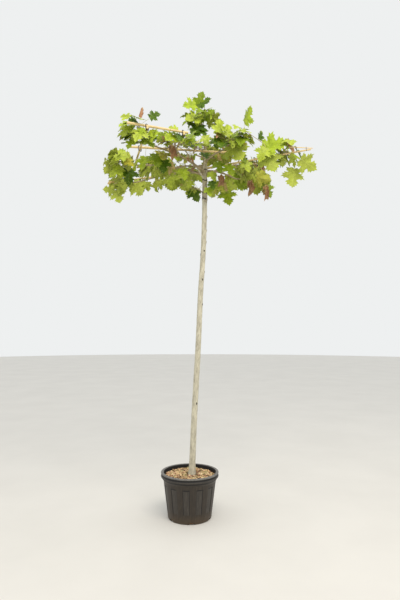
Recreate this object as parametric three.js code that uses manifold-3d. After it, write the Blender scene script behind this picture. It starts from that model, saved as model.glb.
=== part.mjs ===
// A young London plane, trained flat over a light frame of bamboo canes, in a black nursery pot.
// Millimetres, +Z up. The origin is the centre of the pot's flat underside, and X runs along the
// long side of the flat crown. Every mesh is one closed solid.
import * as THREE from 'three';
import { mergeVertices } from 'three/addons/utils/BufferGeometryUtils.js';
import Module from 'manifold-3d';

const wasm = await Module();
wasm.setup();

// ---------------------------------------------------------------- driving dimensions

const GAP = 0.3; // between two pieces that meet

const POT = {
  height: 281,
  footRadius: 131,
  footHeight: 9, // of the sloped edge under the wall
  baseRadius: 136, // at the top of that edge
  bodyRadius: 163.8, // just under the collar
  rimRadius: 180,
  mouthRadius: 162,
  wall: 4.6,
  floor: 4,
  collarFrom: 230, // where the sloped underside of the collar starts
  collarFace: 28, // height of the collar's upright face
  collarEase: 3.5, // from the end of the slope out to that face
  lip: [2, 3, 4], // the lip's bevels: outer width, inner width, height
  fluteFrom: 24,
  fluteTo: 211,
  fluteRunOut: [4, 3], // height of a flute's sloped ends, lower and upper
  fluteDepth: 2.8,
  fluteHalfAngle: 8.2, // degrees, to a flute's edge
  fluteSide: 1.8, // degrees that each side of a flute takes
  flutes: 12,
  firstFlute: -98, // degrees from +X
  drains: 6,
  firstDrain: -86,
  drainWidth: 27,
  drainHeight: 12,
  drainReach: 12, // of the notch to either side of its middle, which lies under the wall
};

const SOIL = { level: 262, plateauRadius: 70, edgeDrop: 5 };

// The trunk's axis, from its flat cut on the soil to its tip, and the swellings along it.
const TRUNK = {
  path: [
    [13, 0, 262.3], [27, -3, 600], [53, -8, 1075], [67, -12, 1390], [85, -17, 1675],
    [93, -21, 1953], [94, -24, 2130], [95, -26, 2204], [96, -36, 2300], [97, -38, 2316],
  ],
  baseRadius: 19.4,
  topRadius: 14.6, // at the head, where the boughs leave
  tipRadius: 9,
  flare: 5.5,
  flareHeight: 38,
  headLength: 110, // from the head's fattest ring to the tip
  knuckles: [[1998, 2.6], [2037, 2.9], [2118, 1.6], [2188, 3.0]], // height, radius
  knuckleLength: 13,
  knuckleRings: [-20, -8, 8], // from a knuckle's height
  rings: [275, 300, 340, 480, 700, 950, 1200, 1450, 1700, 1900, 2210, 2250, 2290],
  sides: 12,
};

// Each bough: what it grows from (height on the trunk, or share of its parent's length),
// its tip, its radius at both ends and how far it bows upward.
const BOUGHS = {
  leader: { from: 'trunk', at: 2316, tip: [86, -36, 2410], radius: [8, 5.6], bow: 0 },
  right_end: { from: 'trunk', at: 2150, tip: [452, -62, 2222], radius: [9, 5], bow: -10 },
  right_mid: { from: 'right_end', at: 0.5, tip: [322, 30, 2232], radius: [5, 3.6], bow: 6 },
  centre_right: { from: 'trunk', at: 2240, tip: [140, 30, 2288], radius: [5.6, 3.8], bow: 6 },
  right_front: { from: 'trunk', at: 2236, tip: [196, -176, 2262], radius: [7, 4.4], bow: 6 },
  back_right: { from: 'trunk', at: 2176, tip: [290, 216, 2214], radius: [7.4, 4.4], bow: 12 },
  back_mid: { from: 'trunk', at: 2214, tip: [-8, 186, 2246], radius: [6.4, 4], bow: 8 },
  left_mid: { from: 'trunk', at: 2194, tip: [-98, 46, 2228], radius: [6.4, 4], bow: 8 },
  left_edge: { from: 'trunk', at: 2150, tip: [-330, -34, 2214], radius: [8, 4.4], bow: 8 },
  back_left: { from: 'trunk', at: 2168, tip: [-318, 320, 2222], radius: [8, 4.4], bow: 8 },
  front_left: { from: 'trunk', at: 2172, tip: [-214, -330, 2232], radius: [8, 4.4], bow: 8 },
  front_mid: { from: 'front_left', at: 0.52, tip: [-78, -286, 2220], radius: [5, 3.6], bow: 4 },
  centre_front: { from: 'trunk', at: 2262, tip: [34, -112, 2256], radius: [5.6, 3.8], bow: 4 },
  centre_left: { from: 'trunk', at: 2122, tip: [-35, -105, 2292], radius: [4.4, 3.6], bow: -92 },
};
const BOUGH = { bend: 0.4, rings: 5, sides: 6 }; // bend: where a bough turns level, as a share

// The cane frame: both ends of each cane's axis and its radius there. The cross canes are
// given in plan only, because they lie against the underside of the three that they carry.
const CANES = {
  front: { ends: [[-338, -556, 2275], [-12, -420, 2275]], radius: [7, 6.4] },
  middle: { ends: [[-366, -186, 2278], [262, -6, 2309]], radius: [7.4, 6.4] },
  back: { ends: [[-590, 566, 2275], [-168, 374, 2275]], radius: [5.4, 7] },
  right: { ends: [[58, 10.2, 2201], [735, -211, 2261]], radius: [7.2, 4.6] },
  cross_left: { ends: [[-230, -530], [-455, 519]], radius: [6.6, 5.6] },
  cross_centre: { ends: [[-33, -452], [-179, 400]], radius: [6.6, 5.8] },
};
const CARRIED = ['front', 'middle', 'back'];
const CANE = { sides: 8, bentRings: 6 };

// Black plastic ties: the two pieces that each one binds.
const TIES = [
  ['cross_left', 'front'], ['cross_left', 'middle'], ['cross_left', 'back'],
  ['cross_centre', 'front'], ['cross_centre', 'middle'], ['cross_centre', 'back'],
];
const TIE = { width: 4, thickness: 1.6, slack: 0.6, corner: 3 };

// The masses of foliage. Each has its own space: the part of an ellipsoid about its centre that
// lies nearer to that centre than to any other. Twigs and leaves are dealt out by the seed; a
// sprig is a leaf at the crown's outline: tip, heading, elevation, length, and the heading its
// upper face turns to.
const FOLIAGE = {
  top: {
    foot: 'leader', seed: 101, centre: [62, -44, 2522], reach: [95, 85, 125], twigs: 3, leaf: 92,
    sprigs: [
      [86, -60, 2692, -36, 66, 102, -100], [137, -80, 2634, -24, 22, 105, -120],
      [-48, -80, 2579, -154, -17, 96, -60], [-38, -100, 2490, -152, -14, 112, -70],
      [161, -90, 2558, -24, 25, 112, -110], [0, -90, 2396, -142, -44, 118, -100],
    ],
  },
  right_front: {
    foot: 'right_front', seed: 102, centre: [240, -250, 2300], reach: [125, 110, 95], twigs: 6,
    leaf: 104,
    sprigs: [
      [183, -250, 2433, 0, 83, 96, -90], [237, -240, 2406, 24, 73, 84, -60],
      [311, -300, 2160, -49, -54, 150, 100], [371, -200, 2541, 0, 71, 122, -25],
    ],
  },
  right_mid: {
    foot: 'right_mid', seed: 103, centre: [372, 40, 2256], reach: [125, 95, 70], twigs: 5, leaf: 112,
    sprigs: [],
  },
  centre_right: {
    foot: 'centre_right', seed: 115, centre: [196, 56, 2318], reach: [100, 85, 75], twigs: 5, leaf: 100,
    sprigs: [],
  },
  right_end: {
    foot: 'right_end', seed: 104, centre: [560, -130, 2270], reach: [125, 115, 95], twigs: 6,
    leaf: 118,
    sprigs: [
      [602, -200, 2305, -19, 7, 155, -80], [518, -220, 2110, -49, -62, 160, 90],
      [593, -150, 2356, 180, 73, 72, -70], [641, -100, 2049, 180, -83, 128, 95],
      [795, -100, 2167, 26, -22, 132, 100], [442, -150, 2405, 0, 78, 64, -40],
    ],
  },
  back_right: {
    foot: 'back_right', seed: 105, centre: [400, 310, 2244], reach: [165, 140, 75], twigs: 6, leaf: 120,
    sprigs: [
      [410, 300, 2150, 7, -40, 160, -90], [487, 310, 2111, 0, -80, 165, 80],
      [578, 300, 2090, 0, -61, 112, -70],
    ],
  },
  trunk_right: {
    foot: 'trunk', at: 2064, seed: 106, centre: [206, 90, 2116], reach: [85, 80, 70], twigs: 2, leaf: 92,
    sprigs: [[265, 130, 1991, -42, -76, 118, -90], [192, 14, 2066, -22, -53, 82, -80]],
  },
  trunk_left: {
    foot: 'trunk', at: 2030, seed: 107, centre: [14, 66, 2096], reach: [60, 60, 60], twigs: 1, leaf: 72,
    sprigs: [[56, 60, 2000, -12, -60, 96, -90]],
  },
  back_mid: {
    foot: 'back_mid', seed: 108, centre: [-70, 280, 2254], reach: [125, 130, 75], twigs: 6, leaf: 110,
    sprigs: [
      [-125, 240, 2113, -77, -75, 140, 95], [-45, 200, 2160, -51, -70, 130, -90],
    ],
  },
  left_mid: {
    foot: 'left_mid', seed: 109, centre: [-215, 70, 2256], reach: [125, 150, 80], twigs: 7, leaf: 108,
    sprigs: [],
  },
  left_edge: {
    foot: 'left_edge', seed: 110, centre: [-430, -40, 2232], reach: [105, 150, 75], twigs: 5, leaf: 104,
    sprigs: [
      [-505, -80, 2247, -164, -5, 124, -90], [-526, -20, 2137, -166, -41, 112, -80],
      [-398, 8, 2094, -100, -76, 120, -85],
    ],
  },
  back_left: {
    foot: 'back_left', seed: 111, centre: [-440, 430, 2236], reach: [160, 120, 70], twigs: 5, leaf: 108,
    sprigs: [
      [-650, 490, 2205, 166, 10, 92, 100], [-503, 420, 2080, -43, -62, 122, 90],
      [-339, 380, 2130, -27, -50, 130, 90],
    ],
  },
  front_left: {
    foot: 'front_left', seed: 112, centre: [-290, -430, 2262], reach: [115, 120, 90], twigs: 7,
    leaf: 92,
    sprigs: [
      [-395, -420, 2369, 151, 19, 68, -80], [-263, -450, 2410, 0, 74, 62, -60],
      [-160, -505, 2352, 0, 28, 66, -80], [-389, -420, 2297, 153, 19, 74, -85],
    ],
  },
  front_mid: {
    foot: 'front_mid', seed: 113, centre: [-90, -350, 2246], reach: [120, 110, 70], twigs: 6, leaf: 96,
    sprigs: [[-124, -420, 2309, -158, 11, 58, -90]],
  },
  centre_front: {
    foot: 'centre_front', seed: 114, centre: [40, -190, 2274], reach: [95, 85, 75], twigs: 5, leaf: 96,
    sprigs: [],
  },
};

const STEM = { endRadius: 3.4, rings: 3, sides: 6, flatten: 12, overrun: 0.3, bend: 0.45 };
const TWIG = { radius: [2.2, 1.8], sides: 3, clearance: 4.2, leavesEach: 4 };
const LEAF = {
  thickness: 0.022, // of its length, at the middle of the blade
  hub: [0, 0.24], // where the main veins meet
  // Half of the five-lobed outline, in lengths: across, along. Lobe tips and the notches between.
  half: [[0.37, -0.03], [0.33, 0.16], [0.54, 0.42], [0.26, 0.56]],
  tip: [0, 1],
  stalkRadius: [0.6, 1.4], // inside the twig, and at the blade
};
// What the seed deals out, each between two values. Angles are in radians.
const DEAL = {
  twigFoot: [0.3, 1], // share of the stem's length
  twigTurn: [-0.45, 0.45], // from an even turn round the stem
  twigRise: [-0.675, 0.825],
  twigReach: [0.45, 0.85], // share of the mass's reach
  twigSag: [-0.06, 0.14], // of its length
  leafFoot: [0.3, 0.98], // share of the twig's length
  stalkTurn: [0.45, 1.35], // from the twig's heading
  stalkRise: [-0.36, 0.54],
  size: [0.72, 1.22], // of the mass's leaf
  stalk: [0.34, 0.52], // in leaf lengths
  swing: [-1.3, 1.3], // of the leaf's tip, and of its upper face, from outward
  droop: [-0.1, -1.2], // of its tip
  tilt: [0.2, 1.1], // of its upper face
  cup: [0.04, 0.2],
};
const SPRIG = { tilt: 0.35, cup: 0.1 };
const CROWN_AXIS = [95, -30]; // leaves hang outward from here, in plan
const CROWN_FOOT = 1900; // no leaf reaches the trunk below this
const LIMB_STEPS = { trunk: 8, others: 6 }; // straight lengths that a limb is tested as
const LIMB_CLEARANCE = 8; // from a leaf's tested points to a limb's surface
const STALK_CLEARANCE = 4; // from a leaf's stalk to a limb's surface
const OVERHANG = 70; // how far a leaf's points may pass its mass's ellipsoid
const SPACE_CLEARANCE = 4; // from a leaf's tested points to the edge of its space
const LEAF_CLEARANCE = 0.14; // from a leaf's tested points to another leaf's, in lengths
const TRIES = 40; // places tried for one leaf before it is skipped
// The middle cane lies open to the front: no dealt leaf hangs in the slab that falls away from
// it to the front at this slope, within this distance above and below.
const OPEN_FRONT = { cane: 'middle', slope: 0.357, half: 12 };

// ---------------------------------------------------------------- small helpers

const vector = (p) => new THREE.Vector3(...p);
const radians = THREE.MathUtils.degToRad;

// A seeded run of numbers from 0 to 1.
function seededRandom(seed) {
  let state = seed;
  return () => {
    state = (state + 0x6d2b79f5) | 0;
    let bits = Math.imul(state ^ (state >>> 15), 1 | state);
    bits = (bits + Math.imul(bits ^ (bits >>> 7), 61 | bits)) ^ bits;
    return ((bits ^ (bits >>> 14)) >>> 0) / 4294967296;
  };
}

const dealt = (random, [from, to]) => from + (to - from) * random();

// A unit vector from a heading in plan and an elevation, both in radians.
function direction(heading, elevation) {
  const level = Math.cos(elevation);
  return new THREE.Vector3(level * Math.cos(heading), level * Math.sin(heading), Math.sin(elevation));
}

function meshFromFaces(positions, faces) {
  const geometry = new THREE.BufferGeometry();
  geometry.setAttribute('position', new THREE.Float32BufferAttribute(positions, 3));
  geometry.setIndex(faces);
  return geometry;
}

function toSolid(geometry) {
  const bare = geometry.clone();
  bare.deleteAttribute('normal');
  bare.deleteAttribute('uv');
  const merged = mergeVertices(bare, 1e-4);
  const vertProperties = new Float32Array(merged.getAttribute('position').array);
  const triVerts = new Uint32Array(merged.getIndex().array);
  return new wasm.Manifold(new wasm.Mesh({ numProp: 3, vertProperties, triVerts }));
}

function toGeometry(solid) {
  const { vertProperties, triVerts } = solid.getMesh();
  return meshFromFaces(Array.from(vertProperties), Array.from(triVerts));
}

// A round, tapering tube along a curve, with flat ends. Its rings turn as little as they can.
function tube(curve, rings, sides, radiusAt) {
  const frames = curve.computeFrenetFrames(rings, false);
  const positions = [];
  const faces = [];
  for (let ring = 0; ring <= rings; ring += 1) {
    const share = ring / rings;
    const centre = curve.getPointAt(share);
    for (let side = 0; side < sides; side += 1) {
      const angle = (2 * Math.PI * side) / sides;
      const point = centre.clone()
        .addScaledVector(frames.normals[ring], Math.cos(angle) * radiusAt(share))
        .addScaledVector(frames.binormals[ring], Math.sin(angle) * radiusAt(share));
      positions.push(point.x, point.y, point.z);
    }
  }
  for (let ring = 0; ring < rings; ring += 1) {
    for (let side = 0; side < sides; side += 1) {
      const next = (side + 1) % sides;
      const [a, b] = [ring * sides + side, ring * sides + next];
      faces.push(a, b, a + sides, b, b + sides, a + sides);
    }
  }
  const last = rings * sides;
  for (let side = 1; side < sides - 1; side += 1) {
    faces.push(0, side + 1, side, last, last + side, last + side + 1);
  }
  return meshFromFaces(positions, faces);
}

const taper = ([from, to], extra = 0) => (share) => from + (to - from) * share + extra;

// ---------------------------------------------------------------- pot and soil

// A lathe with four columns to each flute, so that a flute has two sharp edges. The flutes are
// sunk into the first rows of the profile, which make the pot's outside.
function fluteColumns(profile, outsideRows) {
  const columns = POT.flutes * 4;
  const points = profile.map(([r, z]) => new THREE.Vector2(r, z));
  const geometry = new THREE.LatheGeometry(points, columns);
  const step = 360 / POT.flutes;
  const floorAngle = POT.fluteHalfAngle - POT.fluteSide;
  const edges = [-POT.fluteHalfAngle, -floorAngle, floorAngle, POT.fluteHalfAngle];
  const position = geometry.getAttribute('position');
  const rows = profile.length;
  for (let i = 0; i < position.count; i += 1) {
    const column = Math.floor(i / rows) % columns;
    const [radius, z] = profile[i % rows];
    const angle = radians(POT.firstFlute + Math.floor(column / 4) * step + edges[column % 4]);
    const onFloor = column % 4 === 1 || column % 4 === 2;
    const outside = i % rows > 0 && i % rows <= outsideRows;
    const inFlute = onFloor && outside && z > POT.fluteFrom && z < POT.fluteTo;
    const reach = radius - (inFlute ? POT.fluteDepth : 0);
    position.setXYZ(i, reach * Math.cos(angle), reach * Math.sin(angle), z);
  }
  return geometry;
}

function outerRadius(z) {
  const share = (z - POT.footHeight) / (POT.collarFrom - POT.footHeight);
  return POT.baseRadius + (POT.bodyRadius - POT.baseRadius) * share;
}

const innerRadius = (z) => outerRadius(z) - POT.wall;

function pot() {
  const { height, rimRadius, mouthRadius, floor, collarFrom, collarEase, fluteFrom, fluteTo } = POT;
  const [lipOut, lipIn, lipHeight] = POT.lip;
  const [lowRunOut, highRunOut] = POT.fluteRunOut;
  const wallHeights = [
    POT.footHeight, fluteFrom, fluteFrom + lowRunOut, fluteTo - highRunOut, fluteTo,
  ];
  const outside = [[POT.footRadius, 0], ...wallHeights.map((z) => [outerRadius(z), z])];
  const faceFoot = height - POT.collarFace;
  const collar = [
    [POT.bodyRadius, collarFrom], [rimRadius - collarEase, faceFoot - collarEase],
    [rimRadius, faceFoot], [rimRadius, height - lipHeight], [rimRadius - lipOut, height],
    [mouthRadius + lipIn, height], [mouthRadius, height - lipHeight],
    [innerRadius(collarFrom), collarFrom],
  ];
  const profile = [[0, 0], ...outside, ...collar, [innerRadius(floor), floor], [0, floor]];
  let body = toSolid(fluteColumns(profile, outside.length));
  const wallMiddle = (POT.footRadius + outerRadius(POT.drainHeight)) / 2;
  for (let k = 0; k < POT.drains; k += 1) {
    const angle = radians(POT.firstDrain + (360 / POT.drains) * k);
    const cutter = new THREE.BoxGeometry(POT.drainReach * 2, POT.drainWidth, POT.drainHeight * 2);
    cutter.translate(wallMiddle, 0, 0);
    cutter.rotateZ(angle);
    body = body.subtract(toSolid(cutter));
  }
  return toGeometry(body);
}

// The soil fills the pot to just above the collar's foot and is a little lower at its edge.
function soil() {
  const { level, plateauRadius, edgeDrop } = SOIL;
  const low = POT.floor + GAP;
  const profile = [
    [0, low], [innerRadius(low) - 2 * GAP, low],
    [innerRadius(POT.collarFrom) - 2 * GAP, level - edgeDrop],
    [plateauRadius, level], [0, level],
  ];
  const points = profile.map(([r, z]) => new THREE.Vector2(r, z));
  return new THREE.LatheGeometry(points, POT.flutes * 2).rotateX(Math.PI / 2);
}

// ---------------------------------------------------------------- trunk and boughs

const trunkCurve = new THREE.CatmullRomCurve3(TRUNK.path.map(vector));
const trunkBottom = TRUNK.path[0][2];
const trunkTop = TRUNK.path.at(-1)[2];

function trunkRadius(z) {
  const share = (z - trunkBottom) / (trunkTop - trunkBottom);
  const flare = TRUNK.flare * Math.exp(-(z - trunkBottom) / TRUNK.flareHeight);
  let radius = TRUNK.baseRadius + (TRUNK.topRadius - TRUNK.baseRadius) * share + flare;
  for (const [height, extra] of TRUNK.knuckles) {
    radius += extra * Math.exp(-(((z - height) / TRUNK.knuckleLength) ** 2));
  }
  const intoTip = Math.max(0, 1 - (trunkTop - z) / TRUNK.headLength);
  return radius + (TRUNK.tipRadius - TRUNK.topRadius) * intoTip;
}

function trunkPoint(z) {
  let [low, high] = [0, 1];
  for (let step = 0; step < 40; step += 1) {
    const middle = (low + high) / 2;
    if (trunkCurve.getPointAt(middle).z < z) low = middle;
    else high = middle;
  }
  return trunkCurve.getPointAt((low + high) / 2);
}

// Rings close together at the foot and the head, and far apart on the plain stem.
function trunk(extra = 0) {
  const aroundKnuckles = TRUNK.knuckles
    .flatMap(([height]) => TRUNK.knuckleRings.map((offset) => height + offset));
  const heights = [trunkBottom, ...TRUNK.rings, ...aroundKnuckles, trunkTop].sort((a, b) => a - b);
  const { sides } = TRUNK;
  const positions = [];
  const faces = [];
  heights.forEach((z, ring) => {
    const centre = trunkPoint(z);
    const radius = trunkRadius(z) + extra;
    const level = ring === heights.length - 1 ? z + extra : z;
    for (let side = 0; side < sides; side += 1) {
      const angle = (2 * Math.PI * side) / sides;
      const [x, y] = [centre.x + radius * Math.cos(angle), centre.y + radius * Math.sin(angle)];
      positions.push(x, y, level);
      const next = (side + 1) % sides;
      if (ring > 0) {
        const [a, b] = [(ring - 1) * sides + side, (ring - 1) * sides + next];
        faces.push(a, b, a + sides, b, b + sides, a + sides);
      }
    }
  });
  const last = (heights.length - 1) * sides;
  for (let side = 1; side < sides - 1; side += 1) {
    faces.push(0, side + 1, side, last, last + side, last + side + 1);
  }
  return meshFromFaces(positions, faces);
}

// A bough leaves its parent's axis, rises and then runs out level to its tip.
function boughCurve(name) {
  const { from, at, bow, ...own } = BOUGHS[name];
  const tip = vector(own.tip);
  const start = from === 'trunk' ? trunkPoint(at) : boughCurve(from).getPoint(at);
  const control = start.clone().lerp(tip, BOUGH.bend);
  if (bow !== 0) control.z = tip.z + bow;
  return new THREE.QuadraticBezierCurve3(start, control, tip);
}

function boughTube(name, extra = 0) {
  return tube(boughCurve(name), BOUGH.rings, BOUGH.sides, taper(BOUGHS[name].radius, extra));
}

function bough(name) {
  const parent = BOUGHS[name].from;
  const grown = parent === 'trunk' ? trunk(GAP) : boughTube(parent, GAP);
  return toGeometry(largest(toSolid(boughTube(name)).subtract(toSolid(grown))));
}

function largest(solid) {
  return solid.decompose().reduce((best, piece) => (piece.volume() > best.volume() ? piece : best));
}

// ---------------------------------------------------------------- canes and ties

// Where two canes cross in plan: the share along each.
function crossingShares(first, second) {
  const [a, b] = [first, second].map((name) => {
    const [start, end] = CANES[name].ends;
    return { x: start[0], y: start[1], dx: end[0] - start[0], dy: end[1] - start[1] };
  });
  const cross = a.dx * b.dy - a.dy * b.dx;
  const [x, y] = [b.x - a.x, b.y - a.y];
  return [(x * b.dy - y * b.dx) / cross, (x * a.dy - y * a.dx) / cross];
}

// A cross cane bends a little, so that it touches all three canes above it.
function crossCaneHeight(name) {
  const seats = CARRIED.map((above) => {
    const [share, shareAbove] = crossingShares(name, above);
    const apart = taper(CANES[name].radius)(share) + taper(CANES[above].radius)(shareAbove) + GAP;
    return { share, z: caneCurve(above).getPoint(shareAbove).z - apart };
  });
  return (share) => seats.reduce((height, seat) => {
    const others = seats.filter((other) => other !== seat);
    return height + others.reduce((z, o) => (z * (share - o.share)) / (seat.share - o.share), seat.z);
  }, 0);
}

function caneCurve(name) {
  const [start, end] = CANES[name].ends;
  if (start.length === 3) return new THREE.LineCurve3(vector(start), vector(end));
  const [low, middle, high] = [0, 0.5, 1].map(crossCaneHeight(name));
  const [from, to] = [vector([...start, low]), vector([...end, high])];
  const control = from.clone().lerp(to, 0.5).setZ(2 * middle - (low + high) / 2);
  return new THREE.QuadraticBezierCurve3(from, control, to);
}

function cane(name) {
  const curve = caneCurve(name);
  const rings = curve instanceof THREE.LineCurve3 ? 1 : CANE.bentRings;
  return tube(curve, rings, CANE.sides, taper(CANES[name].radius));
}

// A band that runs round both canes, on the slant between them. Its opening is as wide as the
// two canes are where it crosses them.
function tie(first, second) {
  const shares = crossingShares(first, second);
  const [low, high] = [first, second].map((name, i) => ({
    point: caneCurve(name).getPoint(shares[i]),
    radius: taper(CANES[name].radius)(shares[i]),
    tangent: caneCurve(name).getTangent(shares[i]),
  }));
  const [lowHeading, highHeading] = [low, high]
    .map(({ tangent }) => Math.atan2(tangent.y, tangent.x));
  const slant = Math.abs(lowHeading - highHeading) / 2;
  const radius = Math.max(low.radius, high.radius);
  const wide = (radius + (TIE.width / 2) * Math.cos(slant)) / Math.sin(slant) + TIE.slack;
  const tall = (high.point.z - low.point.z) / 2 + radius + TIE.slack;
  const band = (grow) => {
    const [x, y, cut] = [wide + grow, tall + grow, TIE.corner + grow / 2];
    const corners = [
      [x, cut - y], [x, y - cut], [x - cut, y], [cut - x, y],
      [-x, y - cut], [-x, cut - y], [cut - x, -y], [x - cut, -y],
    ];
    return new THREE.Shape(corners.map(([across, up]) => new THREE.Vector2(across, up)));
  };
  const outline = band(TIE.thickness);
  outline.holes.push(band(0));
  const geometry = new THREE.ExtrudeGeometry(outline, { depth: TIE.width, bevelEnabled: false });
  geometry.translate(0, 0, -TIE.width / 2);
  geometry.rotateX(Math.PI / 2);
  geometry.rotateZ((lowHeading + highHeading) / 2);
  const middle = low.point.clone().lerp(high.point, 0.5);
  return geometry.translate(middle.x, middle.y, middle.z);
}

// ---------------------------------------------------------------- foliage

// Every limb that a leaf keeps clear of, as short straight lengths with one radius each.
function limbLengths() {
  const lengths = [];
  const add = (points, radii) => {
    for (let i = 1; i < points.length; i += 1) {
      lengths.push({ line: new THREE.Line3(points[i - 1], points[i]), radius: radii[i] });
    }
  };
  const shares = (steps) => Array.from({ length: steps + 1 }, (_, i) => i / steps);
  const heights = shares(LIMB_STEPS.trunk).map((s) => CROWN_FOOT + (trunkTop - CROWN_FOOT) * s);
  add(heights.map(trunkPoint), heights.map(trunkRadius));
  const curves = [
    ...Object.keys(BOUGHS).map((name) => [boughCurve(name), BOUGHS[name].radius]),
    ...Object.keys(CANES).map((name) => [caneCurve(name), CANES[name].radius]),
  ];
  for (const [curve, radius] of curves) {
    const along = shares(LIMB_STEPS.others);
    add(along.map((share) => curve.getPoint(share)), along.map(taper(radius)));
  }
  return lengths;
}

const limbs = limbLengths();

// Whether all points lie in the mass's own space and clear of every limb.
function isFree(points, mass, clearance) {
  const own = vector(mass.centre);
  const others = Object.values(FOLIAGE)
    .filter((other) => other !== mass)
    .map((other) => vector(other.centre));
  const nearest = new THREE.Vector3();
  return points.every((point) => {
    const outside = others.some((other) => {
      const apart = own.distanceTo(other);
      const beyond = (point.distanceToSquared(own) - point.distanceToSquared(other)) / (2 * apart);
      return beyond > -SPACE_CLEARANCE;
    });
    return !outside && limbs.every(({ line, radius }) => {
      line.closestPointToPoint(point, true, nearest);
      return nearest.distanceTo(point) > radius + clearance;
    });
  });
}

// The blade's own axes: across, along and out of its upper face.
function bladeFrame(along, upward) {
  const out = upward.clone().addScaledVector(along, -upward.dot(along)).normalize();
  return { across: along.clone().cross(out), along, out };
}

function bladePoint(blade, [across, along], rise = 0) {
  const { frame, base, length } = blade;
  const dip = blade.cup * (Math.abs(across) ** 1.5 + 0.5 * along * along);
  return base.clone()
    .addScaledVector(frame.across, across * length)
    .addScaledVector(frame.along, along * length)
    .addScaledVector(frame.out, (rise - dip) * length);
}

function bladeOutline() {
  const left = LEAF.half.map(([across, along]) => [-across, along]).reverse();
  return [...LEAF.half, LEAF.tip, ...left];
}

// Points at which a leaf is tested against its space, the limbs and the leaves before it.
function bladeTestPoints(blade) {
  const between = ([x, y], [u, v], share) => [x + (u - x) * share, y + (v - y) * share];
  const corners = [[0, 0], ...bladeOutline()];
  const rim = corners.flatMap((c, i) => [c, between(c, corners[(i + 1) % corners.length], 0.5)]);
  const rings = [0, 0.35, 0.7].flatMap((share) => rim.map((spot) => between(spot, LEAF.hub, share)));
  return [...rings, LEAF.hub].map((spot) => bladePoint(blade, spot));
}

// A leaf and its stalk in one skin: a fan of facets from the hub on both faces of the blade, and
// a three-sided stalk from inside the twig to the blade's base.
function leafSolid(node, blade) {
  const { frame, base } = blade;
  const ahead = base.clone().sub(node).normalize();
  const stalkRing = (centre, radius) => {
    const across = frame.across.clone().addScaledVector(ahead, -frame.across.dot(ahead)).normalize();
    const under = ahead.clone().cross(across).normalize();
    return [[0.9, 0.5], [-0.9, 0.5], [0, -1]].map(([side, rise]) => centre.clone()
      .addScaledVector(across, side * radius)
      .addScaledVector(under, -rise * radius));
  };
  const points = [
    bladePoint(blade, LEAF.hub, LEAF.thickness / 2), bladePoint(blade, LEAF.hub, -LEAF.thickness / 2),
    ...stalkRing(node, LEAF.stalkRadius[0]), ...stalkRing(base, LEAF.stalkRadius[1]),
    ...bladeOutline().map((spot) => bladePoint(blade, spot)),
  ];
  const [hubAbove, hubBelow, right, left, below] = [0, 1, 5, 6, 7];
  const rim = [right, ...bladeOutline().map((_, i) => 8 + i), left];
  const faces = [2, 3, 4, hubAbove, left, right, hubBelow, right, below, hubBelow, below, left];
  for (let i = 1; i < rim.length; i += 1) {
    faces.push(hubAbove, rim[i - 1], rim[i], hubBelow, rim[i], rim[i - 1]);
  }
  for (let side = 0; side < 3; side += 1) {
    const [a, b] = [2 + side, 2 + ((side + 1) % 3)];
    faces.push(a, a + 3, b, b, a + 3, b + 3);
  }
  return toSolid(meshFromFaces(points.flatMap((p) => p.toArray()), faces));
}

// Whether a point lies in the mass's ellipsoid or little beyond it.
function isInside(point, mass) {
  const bounds = vector(mass.reach).addScalar(OVERHANG);
  return point.clone().sub(vector(mass.centre)).divide(bounds).length() < 1;
}

// Whether a leaf leaves the open cane's slab free.
function isOpen(points) {
  const [start, end] = CANES[OPEN_FRONT.cane].ends;
  return points.every(({ x, y, z }) => {
    const share = (x - start[0]) / (end[0] - start[0]);
    const ahead = start[1] + share * (end[1] - start[1]) - y;
    const level = start[2] + share * (end[2] - start[2]) - OPEN_FRONT.slope * ahead;
    return share < 0 || share > 1 || ahead < 0 || Math.abs(z - level) > OPEN_FRONT.half;
  });
}

// Whether a leaf lies off the leaves that its mass already has.
function isApart(points, length, placed) {
  const least = length * LEAF_CLEARANCE;
  const isClear = (there) => points.every((point) => point.distanceTo(there) > least);
  return placed.every((leaf) => leaf.every(isClear));
}

function makeBlade(base, along, upward, length, cup) {
  return { base, frame: bladeFrame(along, upward), length, cup };
}

// One leaf dealt out by the seed: it tries a few places and is left out if none is free.
function dealLeaf(random, mass, placed, path, place) {
  const ahead = path.at(-1).clone().sub(path[0]);
  const heading = Math.atan2(ahead.y, ahead.x);
  const [footFrom, footTo] = DEAL.leafFoot;
  let hand = place % 2 ? 1 : -1;
  for (let attempt = 0; attempt < TRIES; attempt += 1) {
    const share = footFrom + ((footTo - footFrom) * (place + random())) / TWIG.leavesEach;
    const node = alongPath(path, share);
    const stalkHeading = heading + hand * dealt(random, DEAL.stalkTurn);
    const stalk = direction(stalkHeading, dealt(random, DEAL.stalkRise));
    const length = mass.leaf * dealt(random, DEAL.size);
    const base = node.clone().addScaledVector(stalk, length * dealt(random, DEAL.stalk));
    const away = Math.atan2(base.y - CROWN_AXIS[1], base.x - CROWN_AXIS[0]);
    const along = direction(away + dealt(random, DEAL.swing), dealt(random, DEAL.droop));
    const upward = direction(away + dealt(random, DEAL.swing), dealt(random, DEAL.tilt));
    const blade = makeBlade(base, along, upward, length, dealt(random, DEAL.cup));
    const stalkPoints = [0.5, 0.75, 1].map((part) => node.clone().lerp(base, part));
    const points = bladeTestPoints(blade);
    const inside = points.every((point) => isInside(point, mass));
    const free = inside && isFree(points, mass, LIMB_CLEARANCE)
      && isFree(stalkPoints, mass, STALK_CLEARANCE);
    if (free && isOpen(points) && isApart(points, length, placed)) {
      placed.push(points);
      return leafSolid(node, blade);
    }
    hand = -hand;
  }
  return null;
}

function alongPath(points, share) {
  const place = share * (points.length - 1);
  const index = Math.min(Math.floor(place), points.length - 2);
  return points[index].clone().lerp(points[index + 1], place - index);
}

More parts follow.
